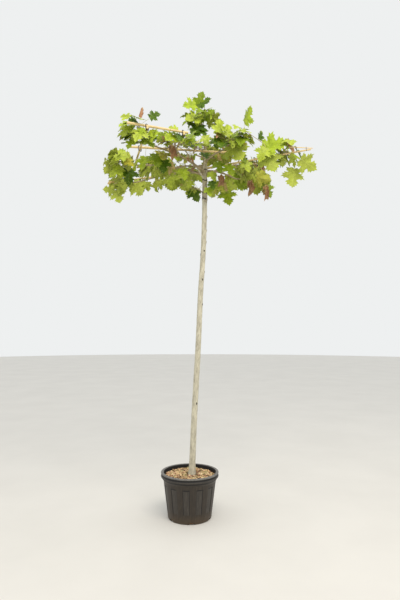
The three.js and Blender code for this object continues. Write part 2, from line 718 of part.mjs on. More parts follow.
// A twig of two straight lengths, or nothing where it would leave its space or touch a limb.
function twigPath(mass, from, to, sag) {
  const middle = from.clone().lerp(to, 0.5);
  middle.z += sag * from.distanceTo(to);
  const path = [from, middle, to];
  const tested = [0.3, 0.5, 0.75, 1].map((share) => alongPath(path, share));
  return isFree(tested, mass, TWIG.clearance) ? path : null;
}

function twigSolid(path) {
  const curve = new THREE.CurvePath();
  path.slice(1).forEach((point, i) => curve.add(new THREE.LineCurve3(path[i], point)));
  return toSolid(tube(curve, path.length - 1, TWIG.sides, taper(TWIG.radius)));
}

// A stem carries on from its bough's tip, or leaves the trunk's axis, and runs to the middle
// of its mass.
function stemCurve(mass) {
  const centre = vector(mass.centre);
  if (mass.foot === 'trunk') {
    const start = trunkPoint(mass.at);
    const bend = start.clone().lerp(centre, 0.5).setZ(centre.z - STEM.flatten);
    return new THREE.QuadraticBezierCurve3(start, bend, centre);
  }
  const limb = boughCurve(mass.foot);
  const onward = limb.getTangent(1);
  const start = limb.getPoint(1).addScaledVector(onward, GAP);
  const end = centre.clone().lerp(start, -STEM.overrun);
  const bend = start.clone().addScaledVector(onward, start.distanceTo(end) * STEM.bend);
  return new THREE.QuadraticBezierCurve3(start, bend, end);
}

function stemRadius(mass) {
  const base = mass.foot === 'trunk' ? STEM.endRadius : BOUGHS[mass.foot].radius[1];
  return taper([base, STEM.endRadius]);
}

const GOLDEN_TURN = Math.PI * (3 - Math.sqrt(5));

// The stem, its twigs, the sprigs on the nearest twig's end, and four leaves dealt to each twig.
function growFoliage(mass) {
  const random = seededRandom(mass.seed);
  const stem = stemCurve(mass);
  const [footFrom, footTo] = DEAL.twigFoot;
  const twigs = [];
  for (let k = 0; k < mass.twigs; k += 1) {
    const from = stem.getPoint(footFrom + ((footTo - footFrom) * (k + 0.5)) / mass.twigs);
    const turn = k * GOLDEN_TURN + dealt(random, DEAL.twigTurn);
    const spread = direction(turn, dealt(random, DEAL.twigRise));
    const reach = vector(mass.reach).multiplyScalar(dealt(random, DEAL.twigReach));
    const to = vector(mass.centre).add(reach.multiply(spread));
    const path = twigPath(mass, from, to, dealt(random, DEAL.twigSag));
    if (path) twigs.push(path);
  }
  const solids = [toSolid(tube(stem, STEM.rings, STEM.sides, stemRadius(mass)))];
  const nodes = [...twigs.map((path) => path.at(-1)), stem.getPoint(1), stem.getPoint(0.5)];
  const placed = [];
  for (const [x, y, z, heading, elevation, length, face] of mass.sprigs) {
    const along = direction(radians(heading), radians(elevation));
    const base = new THREE.Vector3(x, y, z).addScaledVector(along, -length);
    const upward = direction(radians(face), SPRIG.tilt);
    const blade = makeBlade(base, along, upward, length, SPRIG.cup);
    const points = bladeTestPoints(blade);
    if (isFree(points, mass, LIMB_CLEARANCE)) {
      placed.push(points);
      solids.push(leafSolid(nearest(nodes, base), blade));
    }
  }
  for (const path of twigs) {
    solids.push(twigSolid(path));
    for (let place = 0; place < TWIG.leavesEach; place += 1) {
      const leaf = dealLeaf(random, mass, placed, path, place);
      if (leaf) solids.push(leaf);
    }
  }
  const body = largest(wasm.Manifold.union(solids));
  if (mass.foot !== 'trunk') return toGeometry(body);
  return toGeometry(largest(body.subtract(toSolid(trunk(GAP)))));
}

function nearest(nodes, point) {
  return nodes.reduce((a, b) => (b.distanceTo(point) < a.distanceTo(point) ? b : a));
}

// ---------------------------------------------------------------- the assembly

const MATERIALS = {
  pot: { color: 0x57524f, roughness: 0.55 },
  soil: { color: 0xa8794f, roughness: 0.95 },
  bark: { color: 0xb8ac88, roughness: 0.85 },
  bough: { color: 0x9a7f5c, roughness: 0.85 },
  cane: { color: 0xe0cb96, roughness: 0.45 },
  tie: { color: 0x1c1c1c, roughness: 0.6 },
  leaf: { color: 0x7c9e22, roughness: 0.6 },
};

const plane = new THREE.Group();

function add(name, geometry, material) {
  const mesh = new THREE.Mesh(geometry, new THREE.MeshStandardMaterial(MATERIALS[material]));
  mesh.name = name;
  plane.add(mesh);
}

add('pot', pot(), 'pot');
add('soil', soil(), 'soil');
add('trunk', trunk(), 'bark');
for (const name of Object.keys(BOUGHS)) {
  add(name === 'leader' ? 'leader' : `bough_${name}`, bough(name), 'bough');
}
for (const name of Object.keys(CANES)) add(`cane_${name}`, cane(name), 'cane');
TIES.forEach(([first, second]) => add(`tie_${first}_${second}`, tie(first, second), 'tie'));
for (const [name, mass] of Object.entries(FOLIAGE)) {
  add(`foliage_${name}`, growFoliage(mass), 'leaf');
}

export default plane;
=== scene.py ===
"""A young London plane trained as a flat roof over bamboo canes, in a nursery pot."""

import math
from functools import lru_cache

import bpy
import numpy as np
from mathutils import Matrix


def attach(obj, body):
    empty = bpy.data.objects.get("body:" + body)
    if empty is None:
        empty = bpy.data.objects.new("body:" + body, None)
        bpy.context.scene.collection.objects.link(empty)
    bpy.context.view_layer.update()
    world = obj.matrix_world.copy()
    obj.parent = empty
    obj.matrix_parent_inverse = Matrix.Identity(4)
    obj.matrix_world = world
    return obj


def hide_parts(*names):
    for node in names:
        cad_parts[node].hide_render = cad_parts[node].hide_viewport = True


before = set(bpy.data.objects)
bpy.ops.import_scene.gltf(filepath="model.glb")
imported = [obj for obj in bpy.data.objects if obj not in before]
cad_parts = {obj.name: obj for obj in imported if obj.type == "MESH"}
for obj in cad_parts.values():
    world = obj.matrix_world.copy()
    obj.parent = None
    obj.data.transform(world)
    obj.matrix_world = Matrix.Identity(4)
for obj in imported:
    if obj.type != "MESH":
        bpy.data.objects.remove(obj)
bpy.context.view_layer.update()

bl_info = {
    "name": "London plane in a nursery pot",
    "version": (1, 0, 0),
    "blender": (4, 5, 0),
    "location": "View3D > Sidebar > Plane tree",
    "description": "Builds the pot, bark, canes, twigs and leaves of a roof-trained plane tree",
    "category": "Add Mesh",
}

MM = 0.001
BODY = "root"

# ---------- sizes, in millimetres
# The same named sizes as the part's source, so each piece lies where its solid is.

POT = dict(
    height=281, foot_radius=131, foot_height=9, base_radius=136, body_radius=163.8,
    rim_radius=180, mouth_radius=162, wall=4.6, floor=4, collar_from=230,
    flute_from=24, flute_to=211, flute_depth=2.8, flute_half_angle=8.2, flutes=12,
    first_flute=-98, drains=6, first_drain=-86, drain_width=27, drain_height=12,
    drain_reach=12,
)
SOIL = dict(level=262, plateau_radius=70, edge_drop=5)

TRUNK_PATH = [
    (13, 0, 262.3), (27, -3, 600), (53, -8, 1075), (67, -12, 1390), (85, -17, 1675),
    (93, -21, 1953), (94, -24, 2130), (95, -26, 2204), (96, -36, 2300), (97, -38, 2316),
]
TRUNK = dict(
    base_radius=19.4, top_radius=14.6, tip_radius=9, flare=5.5, flare_height=38,
    head_length=110, knuckle_length=13,
)
KNUCKLES = [(1998, 2.6), (2037, 2.9), (2118, 1.6), (2188, 3.0)]

# Each bough: what it grows from, where (height or share), its tip, both radii, its bow.
BOUGHS = {
    "leader": ("trunk", 2316, (86, -36, 2410), (8, 5.6), 0),
    "right_end": ("trunk", 2150, (452, -62, 2222), (9, 5), -10),
    "right_mid": ("right_end", 0.5, (322, 30, 2232), (5, 3.6), 6),
    "centre_right": ("trunk", 2240, (140, 30, 2288), (5.6, 3.8), 6),
    "right_front": ("trunk", 2236, (196, -176, 2262), (7, 4.4), 6),
    "back_right": ("trunk", 2176, (290, 216, 2214), (7.4, 4.4), 12),
    "back_mid": ("trunk", 2214, (-8, 186, 2246), (6.4, 4), 8),
    "left_mid": ("trunk", 2194, (-98, 46, 2228), (6.4, 4), 8),
    "left_edge": ("trunk", 2150, (-330, -34, 2214), (8, 4.4), 8),
    "back_left": ("trunk", 2168, (-318, 320, 2222), (8, 4.4), 8),
    "front_left": ("trunk", 2172, (-214, -330, 2232), (8, 4.4), 8),
    "front_mid": ("front_left", 0.52, (-78, -286, 2220), (5, 3.6), 4),
    "centre_front": ("trunk", 2262, (34, -112, 2256), (5.6, 3.8), 4),
    "centre_left": ("trunk", 2122, (-35, -105, 2292), (4.4, 3.6), -92),
}
BOUGH_BEND = 0.4

# Both ends of each cane's axis and its radius there; a cross cane lies under three others.
CANES = {
    "front": (((-338, -556, 2275), (-12, -420, 2275)), (7, 6.4)),
    "middle": (((-366, -186, 2278), (262, -6, 2309)), (7.4, 6.4)),
    "back": (((-590, 566, 2275), (-168, 374, 2275)), (5.4, 7)),
    "right": (((58, 10.2, 2201), (735, -211, 2261)), (7.2, 4.6)),
    "cross_left": (((-230, -530), (-455, 519)), (6.6, 5.6)),
    "cross_centre": (((-33, -452), (-179, 400)), (6.6, 5.8)),
}
CARRIED = ("front", "middle", "back")
TIES = [(low, high) for low in ("cross_left", "cross_centre") for high in CARRIED]
TIE = dict(width=4, thickness=1.6, slack=0.6, corner=3)
GAP = 0.3

# The masses of foliage: what carries each, its seed, centre, reach, twigs and leaf length,
# and its sprigs: leaf tip, heading, elevation, length and the way its upper face turns.
FOLIAGE = {
    "top": ("leader", 0, 101, (62, -44, 2522), (95, 85, 125), 3, 92, [
        (86, -60, 2692, -36, 66, 102, -100), (137, -80, 2634, -24, 22, 105, -120),
        (-48, -80, 2579, -154, -17, 96, -60), (-38, -100, 2490, -152, -14, 112, -70),
        (161, -90, 2558, -24, 25, 112, -110), (0, -90, 2396, -142, -44, 118, -100)]),
    "right_front": ("right_front", 0, 102, (240, -250, 2300), (125, 110, 95), 6, 104, [
        (183, -250, 2433, 0, 83, 96, -90), (237, -240, 2406, 24, 73, 84, -60),
        (311, -300, 2160, -49, -54, 150, 100), (371, -200, 2541, 0, 71, 122, -25)]),
    "right_mid": ("right_mid", 0, 103, (372, 40, 2256), (125, 95, 70), 5, 112, []),
    "centre_right": ("centre_right", 0, 115, (196, 56, 2318), (100, 85, 75), 5, 100, []),
    "right_end": ("right_end", 0, 104, (560, -130, 2270), (125, 115, 95), 6, 118, [
        (602, -200, 2305, -19, 7, 155, -80), (518, -220, 2110, -49, -62, 160, 90),
        (593, -150, 2356, 180, 73, 72, -70), (641, -100, 2049, 180, -83, 128, 95),
        (795, -100, 2167, 26, -22, 132, 100), (442, -150, 2405, 0, 78, 64, -40)]),
    "back_right": ("back_right", 0, 105, (400, 310, 2244), (165, 140, 75), 6, 120, [
        (410, 300, 2150, 7, -40, 160, -90), (487, 310, 2111, 0, -80, 165, 80),
        (578, 300, 2090, 0, -61, 112, -70)]),
    "trunk_right": ("trunk", 2064, 106, (206, 90, 2116), (85, 80, 70), 2, 92, [
        (265, 130, 1991, -42, -76, 118, -90), (192, 14, 2066, -22, -53, 82, -80)]),
    "trunk_left": ("trunk", 2030, 107, (14, 66, 2096), (60, 60, 60), 1, 72, [
        (56, 60, 2000, -12, -60, 96, -90)]),
    "back_mid": ("back_mid", 0, 108, (-70, 280, 2254), (125, 130, 75), 6, 110, [
        (-125, 240, 2113, -77, -75, 140, 95), (-45, 200, 2160, -51, -70, 130, -90)]),
    "left_mid": ("left_mid", 0, 109, (-215, 70, 2256), (125, 150, 80), 7, 108, []),
    "left_edge": ("left_edge", 0, 110, (-430, -40, 2232), (105, 150, 75), 5, 104, [
        (-505, -80, 2247, -164, -5, 124, -90), (-526, -20, 2137, -166, -41, 112, -80),
        (-398, 8, 2094, -100, -76, 120, -85)]),
    "back_left": ("back_left", 0, 111, (-440, 430, 2236), (160, 120, 70), 5, 108, [
        (-650, 490, 2205, 166, 10, 92, 100), (-503, 420, 2080, -43, -62, 122, 90),
        (-339, 380, 2130, -27, -50, 130, 90)]),
    "front_left": ("front_left", 0, 112, (-290, -430, 2262), (115, 120, 90), 7, 92, [
        (-395, -420, 2369, 151, 19, 68, -80), (-263, -450, 2410, 0, 74, 62, -60),
        (-160, -505, 2352, 0, 28, 66, -80), (-389, -420, 2297, 153, 19, 74, -85)]),
    "front_mid": ("front_mid", 0, 113, (-90, -350, 2246), (120, 110, 70), 6, 96, [
        (-124, -420, 2309, -158, 11, 58, -90)]),
    "centre_front": ("centre_front", 0, 114, (40, -190, 2274), (95, 85, 75), 5, 96, []),
}
FIELDS = ("foot", "at", "seed", "centre", "reach", "twigs", "leaf", "sprigs")
MASSES = {name: dict(zip(FIELDS, row), name=name) for name, row in FOLIAGE.items()}
FOLIAGE_NODES = [f"foliage_{name}" for name in MASSES]
STEM = dict(end_radius=3.4, flatten=12, overrun=0.3, bend=0.45)
TWIG = dict(radius=(2.2, 1.8), clearance=4.2, leaves=4)
LEAF_HUB = (0, 0.24)
LEAF_CORNERS = [(0.37, -0.03), (0.33, 0.16), (0.54, 0.42), (0.26, 0.56)]
# Shares at which a leaf, from its rim in, a twig and a stalk are tested for what they touch.
TEST_RINGS = (0, 0.35, 0.7)
TWIG_TESTS = (0.3, 0.5, 0.75, 1)
STALK_TESTS = (0.5, 0.75, 1)

# What the seed deals out, each between two values. Angles are in radians.
DEAL = dict(
    twig_foot=(0.3, 1), twig_turn=(-0.45, 0.45), twig_rise=(-0.675, 0.825),
    twig_reach=(0.45, 0.85), twig_sag=(-0.06, 0.14), leaf_foot=(0.3, 0.98),
    stalk_turn=(0.45, 1.35), stalk_rise=(-0.36, 0.54), size=(0.72, 1.22),
    stalk=(0.34, 0.52), swing=(-1.3, 1.3), droop=(-0.1, -1.2), tilt=(0.2, 1.1),
    cup=(0.04, 0.2),
)
SPRIG = dict(tilt=0.35, cup=0.1)
CROWN_AXIS = np.array((95.0, -30.0))
CROWN_FOOT = 1900
LIMB_STEPS = dict(trunk=8, others=6)
CLEARANCE = dict(limb=8, stalk=4, overhang=70, space=4, leaf=0.14)
# The middle cane lies open to the front: no dealt leaf hangs in the slab that falls away from it.
OPEN_FRONT = dict(cane="middle", slope=0.357, half=12)
TRIES = 40
GOLDEN_TURN = math.pi * (3 - math.sqrt(5))

# ---------- small helpers


def seeded_random(seed):
    """A seeded run of numbers from 0 to 1, the same as the part's source draws."""
    mask = 0xFFFFFFFF
    state = seed

    def draw():
        nonlocal state
        state = (state + 0x6D2B79F5) & mask
        bits = (state ^ (state >> 15)) * (1 | state) & mask
        bits = ((bits + ((bits ^ (bits >> 7)) * (61 | bits) & mask)) & mask) ^ bits
        return ((bits ^ (bits >> 14)) & mask) / 4294967296

    return draw


def between(first, last, share):
    """The value at a share of the way from the first to the last."""
    return first + (last - first) * share


def dealt(random, bounds):
    """The next seeded number, between two bounds."""
    return between(*bounds, random())


def turns(count):
    """So many even steps of a full turn, from zero."""
    return np.arange(count) * 2 * math.pi / count


def unit(vector):
    """The vector's direction, at length one."""
    return vector / np.linalg.norm(vector)


def direction(heading, elevation):
    """A unit vector from a heading in plan and an elevation."""
    level = math.cos(elevation)
    return np.array((level * math.cos(heading), level * math.sin(heading), math.sin(elevation)))


def heading_of(way):
    """The heading in plan of a way."""
    return math.atan2(way[1], way[0])


def bezier(start, control, end):
    """A quadratic curve: share of the way, one or many, to its points."""
    def point(share):
        t = np.asarray(share, float)[..., None]
        return (1 - t) ** 2 * start + 2 * (1 - t) * t * control + t * t * end

    return point


def linear(colour):
    """An sRGB hex colour as linear red, green, blue and alpha. A linear one is kept."""
    if not isinstance(colour, str):
        return tuple(colour)
    parts = [int(colour[i:i + 2], 16) / 255 for i in (1, 3, 5)]
    return tuple(c / 12.92 if c <= 0.04045 else ((c + 0.055) / 1.055) ** 2.4 for c in parts) + (1,)


# ---------- limbs, as the solids run


def catmull_rom(points):
    """A centripetal Catmull-Rom curve through the points, as segment and share to a point."""
    pts = [np.array(p, float) for p in points]
    pts = [2 * pts[0] - pts[1], *pts, 2 * pts[-1] - pts[-2]]

    def point(segment, t):
        p0, p1, p2, p3 = pts[segment:segment + 4]
        d0, d1, d2 = (np.linalg.norm(b - a) ** 0.5 for a, b in ((p0, p1), (p1, p2), (p2, p3)))
        t1 = ((p1 - p0) / d0 - (p2 - p0) / (d0 + d1) + (p2 - p1) / d1) * d1
        t2 = ((p2 - p1) / d1 - (p3 - p1) / (d1 + d2) + (p3 - p2) / d2) * d1
        c2 = -3 * p1 + 3 * p2 - 2 * t1 - t2
        c3 = 2 * p1 - 2 * p2 + t1 + t2
        return p1 + t1 * t + c2 * t * t + c3 * t ** 3

    return point


def ahead_on(curve, share, step=0.01):
    """The way that a curve runs at a share of its length."""
    return curve(min(share + step, 1)) - curve(share - step)


trunk_curve = catmull_rom(TRUNK_PATH)
TRUNK_BOTTOM, TRUNK_TOP = TRUNK_PATH[0][2], TRUNK_PATH[-1][2]
HALVINGS = 40


def trunk_point(z):
    """The trunk's axis at a height."""
    tops = [p[2] for p in TRUNK_PATH[1:-1]]
    segment = sum(z > top for top in tops)
    low, high = 0.0, 1.0
    for _ in range(HALVINGS):
        middle = (low + high) / 2
        if trunk_curve(segment, middle)[2] < z:
            low = middle
        else:
            high = middle
    return trunk_curve(segment, (low + high) / 2)


def trunk_radius(z):
    """The trunk's radius at a height, with its root flare and ring swellings."""
    share = (z - TRUNK_BOTTOM) / (TRUNK_TOP - TRUNK_BOTTOM)
    radius = between(TRUNK["base_radius"], TRUNK["top_radius"], share)
    radius += TRUNK["flare"] * math.exp(-(z - TRUNK_BOTTOM) / TRUNK["flare_height"])
    for height, extra in KNUCKLES:
        radius += extra * math.exp(-(((z - height) / TRUNK["knuckle_length"]) ** 2))
    into_tip = max(0, 1 - (TRUNK_TOP - z) / TRUNK["head_length"])
    return radius + (TRUNK["tip_radius"] - TRUNK["top_radius"]) * into_tip


@lru_cache(maxsize=None)
def bough_ends(name):
    """Start, control and tip of a bough's curve."""
    parent, at, tip, _, bow = BOUGHS[name]
    tip = np.array(tip, float)
    start = trunk_point(at) if parent == "trunk" else bezier(*bough_ends(parent))(at)
    control = start + (tip - start) * BOUGH_BEND
    if bow:
        control[2] = tip[2] + bow
    return start, control, tip


def crossing_shares(first, second):
    """Where two canes cross in plan: the share along each."""
    (a, a2), (b, b2) = (np.array([end[:2] for end in CANES[name][0]], float)
                        for name in (first, second))
    da, db, gap = a2 - a, b2 - b, b - a
    cross = da[0] * db[1] - da[1] * db[0]
    return (gap[0] * db[1] - gap[1] * db[0]) / cross, (gap[0] * da[1] - gap[1] * da[0]) / cross


def cane_radius(name, share):
    """A cane's radius at a share of its length."""
    return between(*CANES[name][1], share)


@lru_cache(maxsize=None)
def cane_ends(name):
    """Start, control and end of a cane's curve. A cross cane touches the three above it."""
    start, end = CANES[name][0]
    if len(start) == 3:
        start, end = np.array(start, float), np.array(end, float)
        return start, (start + end) / 2, end
    seats = []
    for above in CARRIED:
        share, share_above = crossing_shares(name, above)
        apart = cane_radius(name, share) + cane_radius(above, share_above) + GAP
        seats.append((share, bezier(*cane_ends(above))(share_above)[2] - apart))

    def height(share):
        total = 0
        for here, z in seats:
            for other, _ in seats:
                if other != here:
                    z *= (share - other) / (here - other)
            total += z
        return total

    low, middle, high = map(height, (0, 0.5, 1))
    start, end = np.array((*start, low), float), np.array((*end, high), float)
    control = (start + end) / 2
    control[2] = 2 * middle - (low + high) / 2
    return start, control, end


@lru_cache(maxsize=None)
def limb_lengths():
    """Every limb that a leaf keeps clear of, as straight lengths: starts, runs and radii."""
    starts, runs, radii = [], [], []

    def add(points, sizes):
        for i in range(1, len(points)):
            starts.append(points[i - 1])
            runs.append(points[i] - points[i - 1])
            radii.append(sizes[i])

    heights = np.linspace(CROWN_FOOT, TRUNK_TOP, LIMB_STEPS["trunk"] + 1)
    add([trunk_point(z) for z in heights], [trunk_radius(z) for z in heights])
    along = np.linspace(0, 1, LIMB_STEPS["others"] + 1)
    for ends, (from_radius, to_radius) in (
            [(bough_ends(name), BOUGHS[name][3]) for name in BOUGHS]
            + [(cane_ends(name), CANES[name][1]) for name in CANES]):
        add(bezier(*ends)(along), between(from_radius, to_radius, along))
    return np.array(starts), np.array(runs), np.array(radii)


# ---------- the foliage's rule


@lru_cache(maxsize=None)
def space_of(name):
    """The planes that bound a mass's own space, as normals and offsets."""
    own = np.array(MASSES[name]["centre"], float)
    others = np.array([m["centre"] for m in MASSES.values() if m["name"] != name], float)
    normals = others - own
    apart = np.linalg.norm(normals, axis=1, keepdims=True)
    middles = (others + own) / 2
    return (normals / apart).T, (normals * middles).sum(1) / apart[:, 0]


def limb_distances(points, starts, runs):
    """How far each point lies from the axis of each length of limb."""
    offset = points[:, None] - starts
    share = np.clip((offset * runs).sum(2) / (runs ** 2).sum(1), 0, 1)
    return np.linalg.norm(offset - share[..., None] * runs, axis=2)


def is_off_limbs(points, clearance):
    """Whether all points lie clear of every limb."""
    starts, runs, radii = limb_lengths()
    middle = (points.min(0) + points.max(0)) / 2
    spread = np.linalg.norm(points - middle, axis=1).max()
    near = limb_distances(middle[None], starts, runs)[0] < radii + clearance + spread
    if not near.any():
        return True
    distance = limb_distances(points, starts[near], runs[near])
    return bool((distance > radii[near] + clearance).all())


def is_free(points, mass, clearance):
    """Whether all points lie in the mass's own space and clear of every limb."""
    normals, offsets = space_of(mass["name"])
    if (points @ normals - offsets > -CLEARANCE["space"]).any():
        return False
    return is_off_limbs(points, clearance)


def make_blade(base, along, upward, length, cup):
    """A leaf blade: its base, its own axes across, along and out of its upper face, its length."""
    out = unit(upward - along * upward.dot(along))
    return dict(base=base, across=np.cross(along, out), along=along, out=out,
                length=length, cup=cup)


def blade_points(blade, across, along, rise=0.0):
    """Places on the cupped blade, from shares of its length."""
    across, along = np.asarray(across, float), np.asarray(along, float)
    dip = blade["cup"] * (np.abs(across) ** 1.5 + 0.5 * along * along)
    return blade["base"] + blade["length"] * (
        across[..., None] * blade["across"] + along[..., None] * blade["along"]
        + (rise - dip)[..., None] * blade["out"])


def leaf_test_pattern():
    """Points at which a leaf is tested: three rings with midpoints, and the hub."""
    left = [(-x, y) for x, y in reversed(LEAF_CORNERS)]
    corners = np.array([(0, 0), *LEAF_CORNERS, (0, 1), *left], float)
    rim = np.stack([corners, (corners + np.roll(corners, -1, 0)) / 2], 1).reshape(-1, 2)
    hub = np.array(LEAF_HUB, float)
    return np.concatenate([between(rim, hub, share) for share in TEST_RINGS] + [hub[None]])


TEST_PATTERN = leaf_test_pattern()


def test_points(blade):
    """The points at which this leaf is tested."""
    return blade_points(blade, TEST_PATTERN[:, 0], TEST_PATTERN[:, 1])


def is_inside(points, mass, overhang):
    """Whether all points lie within the mass's reach and so much more."""
    bounds = np.array(mass["reach"], float) + overhang
    return bool((np.linalg.norm((points - mass["centre"]) / bounds, axis=1) < 1).all())


def is_open(points):
    """Whether a leaf leaves the open cane's slab free."""
    start, end = CANES[OPEN_FRONT["cane"]][0]
    x, y, z = points.T
    share = (x - start[0]) / (end[0] - start[0])
    ahead = start[1] + share * (end[1] - start[1]) - y
    level = start[2] + share * (end[2] - start[2]) - OPEN_FRONT["slope"] * ahead
    beside = (share < 0) | (share > 1) | (ahead < 0)
    return bool((beside | (abs(z - level) > OPEN_FRONT["half"])).all())


def is_apart(points, least, placed):
    """Whether a leaf lies off the leaves that its mass already has."""
    lowest, highest = points.min(0) - least, points.max(0) + least
    for other in placed:
        near = other[((other >= lowest) & (other <= highest)).all(1)]
        if len(near) and ((points[:, None] - near) ** 2).sum(2).min() <= least * least:
            return False
    return True


def along_path(path, share):
    """The point at a share of the way along a path's corners."""
    place = share * (len(path) - 1)
    index = min(int(place), len(path) - 2)
    return between(path[index], path[index + 1], place - index)


def twig_path(mass, start, end, sag):
    """A twig of two straight lengths, or None where it would leave its space or touch a limb."""
    middle = (start + end) / 2
    middle[2] += sag * np.linalg.norm(end - start)
    path = [start, middle, end]
    tested = np.array([along_path(path, share) for share in TWIG_TESTS])
    return path if is_free(tested, mass, TWIG["clearance"]) else None


def deal_leaf(random, mass, placed, path, place, places, rule):
    """One leaf dealt out by the seed: it tries a few places and is left out if none is free."""
    heading = heading_of(path[-1] - path[0])
    foot_from, foot_to = DEAL["leaf_foot"]
    hand = 1 if place % 2 else -1
    for _ in range(rule["tries"]):
        node = along_path(path, foot_from + (foot_to - foot_from) * (place + random()) / places)
        stalk_heading = heading + hand * dealt(random, DEAL["stalk_turn"])
        stalk = direction(stalk_heading, dealt(random, DEAL["stalk_rise"]))
        length = mass["leaf"] * dealt(random, rule["size"])
        base = node + stalk * length * dealt(random, DEAL["stalk"])
        away = heading_of(base[:2] - CROWN_AXIS)
        along = direction(away + dealt(random, DEAL["swing"]), dealt(random, rule["droop"]))
        upward = direction(away + dealt(random, DEAL["swing"]), dealt(random, rule["tilt"]))
        blade = make_blade(base, along, upward, length, dealt(random, DEAL["cup"]))
        points = test_points(blade)
        stalk_points = np.array([between(node, base, part) for part in STALK_TESTS])
        if (is_inside(points, mass, rule["overhang"])
                and is_free(points, mass, rule["limb"])
                and is_free(stalk_points, mass, CLEARANCE["stalk"])
                and is_open(points)
                and is_apart(points, length * rule["leaf"], placed)):
            placed.append(points)
            return dict(node=node, blade=blade)
        hand = -hand
    return None


def stem_ends(mass):
    """Start, control and end of the stem that runs to the middle of its mass."""
    centre = np.array(mass["centre"], float)
    if mass["foot"] == "trunk":
        start = trunk_point(mass["at"])
        bend = (start + centre) / 2
        bend[2] = centre[2] - STEM["flatten"]
        return start, bend, centre
    start, control, tip = bough_ends(mass["foot"])
    onward = unit(tip - control)
    start = tip + onward * GAP
    end = centre + (centre - start) * STEM["overrun"]
    return start, start + onward * np.linalg.norm(end - start) * STEM["bend"], end


def stem_radii(mass):
    """A stem's radii at its foot and its end."""
    foot = mass["foot"]
    return (STEM["end_radius"] if foot == "trunk" else BOUGHS[foot][3][1], STEM["end_radius"])


# ---------- the crown, finer than its solids

SOLID_RULE = dict(tries=TRIES, size=DEAL["size"], droop=DEAL["droop"], tilt=DEAL["tilt"],
                  overhang=CLEARANCE["overhang"], limb=CLEARANCE["limb"], leaf=CLEARANCE["leaf"])
FINE_RULE = dict(tries=16, size=(0.5, 0.95), droop=(-0.3, -1.35), tilt=(-0.1, 0.8),
                 overhang=28, limb=5, leaf=0.07)
FINE = dict(seed=1000, side_twigs=3, leaves=3, foot=(0.25, 0.95), turn=(0.5, 1.25),
            rise=(-0.6, 0.6), length=(0.28, 0.55), sag=(-0.05, 0.08), radius=(1.5, 1.0),
            stem=(0.35, 0.7, 1.0))
# Side twigs of the masses in the thick of the crown, and of the open ones at its edge.
THICK = dict(top=1, left_edge=2, back_left=2, front_mid=6, centre_front=6, left_mid=5,
             back_mid=5, centre_right=5, right_front=4, front_left=4)

# Bare shoots beside the dealt twigs: the masses that hang on each, its path and end radii.
SHOOTS = [
    dict(masses=("right_front", "right_end"), radii=(2.6, 1.5), path=[
        (243, -236, 2322), (272, -216, 2360), (331, -204, 2373), (392, -198, 2338),
        (452, -190, 2300)]),
]

# Short spurs along the boughs, each with a few leaves.
SPURS = dict(seed=2000, every=42, first=0.28, last=0.97, length=(30, 80), rise=(-0.5, 1.2),
             turn=(0.6, 1.6), sag=(-3, 6), leaves=3)
SPUR_RULE = FINE_RULE | dict(tries=14, size=(0.45, 0.85), overhang=130, limb=4)

# The tone of each of the solids' sprigs, in their order.
SPRIG_TONES = dict(
    top=("mid", "dark", "fresh", "bright", "mid", "dark"),
    right_front=("bright", "bright", "fresh", "fresh"),
    right_end=("fresh", "mid", "fresh", "bright", "bright", "dark"),
    back_right=("mid", "fresh", "mid"),
    trunk_right=("fresh", "bright"),
    trunk_left=("dark",),
    back_mid=("fresh", "mid"),
    left_edge=("fresh", "bright", "dark"),
    back_left=("bright", "bright", "bright"),
    front_left=("bright", "withered", "dark", "bright"),
    front_mid=("bright",),
)

# More leaves of the thick of the crown: tip, heading, elevation, length, face and tone. Each
# belongs to the mass with the nearest centre.
LEAVES_AT = [
    (-477, -175, 2202, -166, -21, 97, -100, "bright"),
    (-504, -120, 2113, -164, -35, 99, -100, "bright"),
    (-344, -160, 2163, -17, -37, 73, -70, "yellow"),
    (-379, -490, 2224, -159, -51, 77, -100, "bright"),
    (-351, -450, 2166, -152, -57, 67, -110, "fresh"), (-199, -470, 2170, -23, -52, 70, -75, "mid"),
    (-240, -350, 2246, -138, -58, 70, -100, "fresh"),
    (-190, -330, 2262, -132, -50, 70, -90, "fresh"),
    (-290, -270, 2104, -143, -72, 94, -110, "fresh"),
    (-188, -290, 2116, -56, -71, 97, -80, "mid"), (-166, -260, 2089, -129, -76, 92, -90, "dark"),
    (-117, -140, 2034, -120, -70, 92, -130, "bright"),
    (-31, -150, 2080, -60, -72, 84, -70, "fresh"), (-13, -50, 2057, -142, -63, 63, -90, "bright"),
    (131, -95, 1994, -32, -69, 69, -80, "fresh"), (145, -215, 2305, -166, -44, 77, -100, "yellow"),
    (155, -130, 2085, -29, -59, 70, -80, "bright"), (149, -120, 2031, -23, -68, 62, -90, "dark"),
    (261, -190, 2098, -27, -63, 85, -80, "fresh"), (189, -180, 2120, -41, -71, 80, -90, "mid"),
    (365, -185, 2124, -21, -62, 79, -80, "bright"), (341, -185, 2180, -18, -56, 77, -80, "mid"),
    (19, -85, 2386, -160, -39, 98, -90, "dark"), (112, -115, 2305, -40, -74, 80, -90, "bright"),
    (173, -140, 2283, -18, -68, 78, -90, "dark"), (25, -135, 2282, -18, -65, 70, -90, "mid"),
    (-22, -160, 2276, -34, -76, 70, -90, "fresh"),
    (413, -215, 2182, -163, -61, 100, -90, "bright"),
]

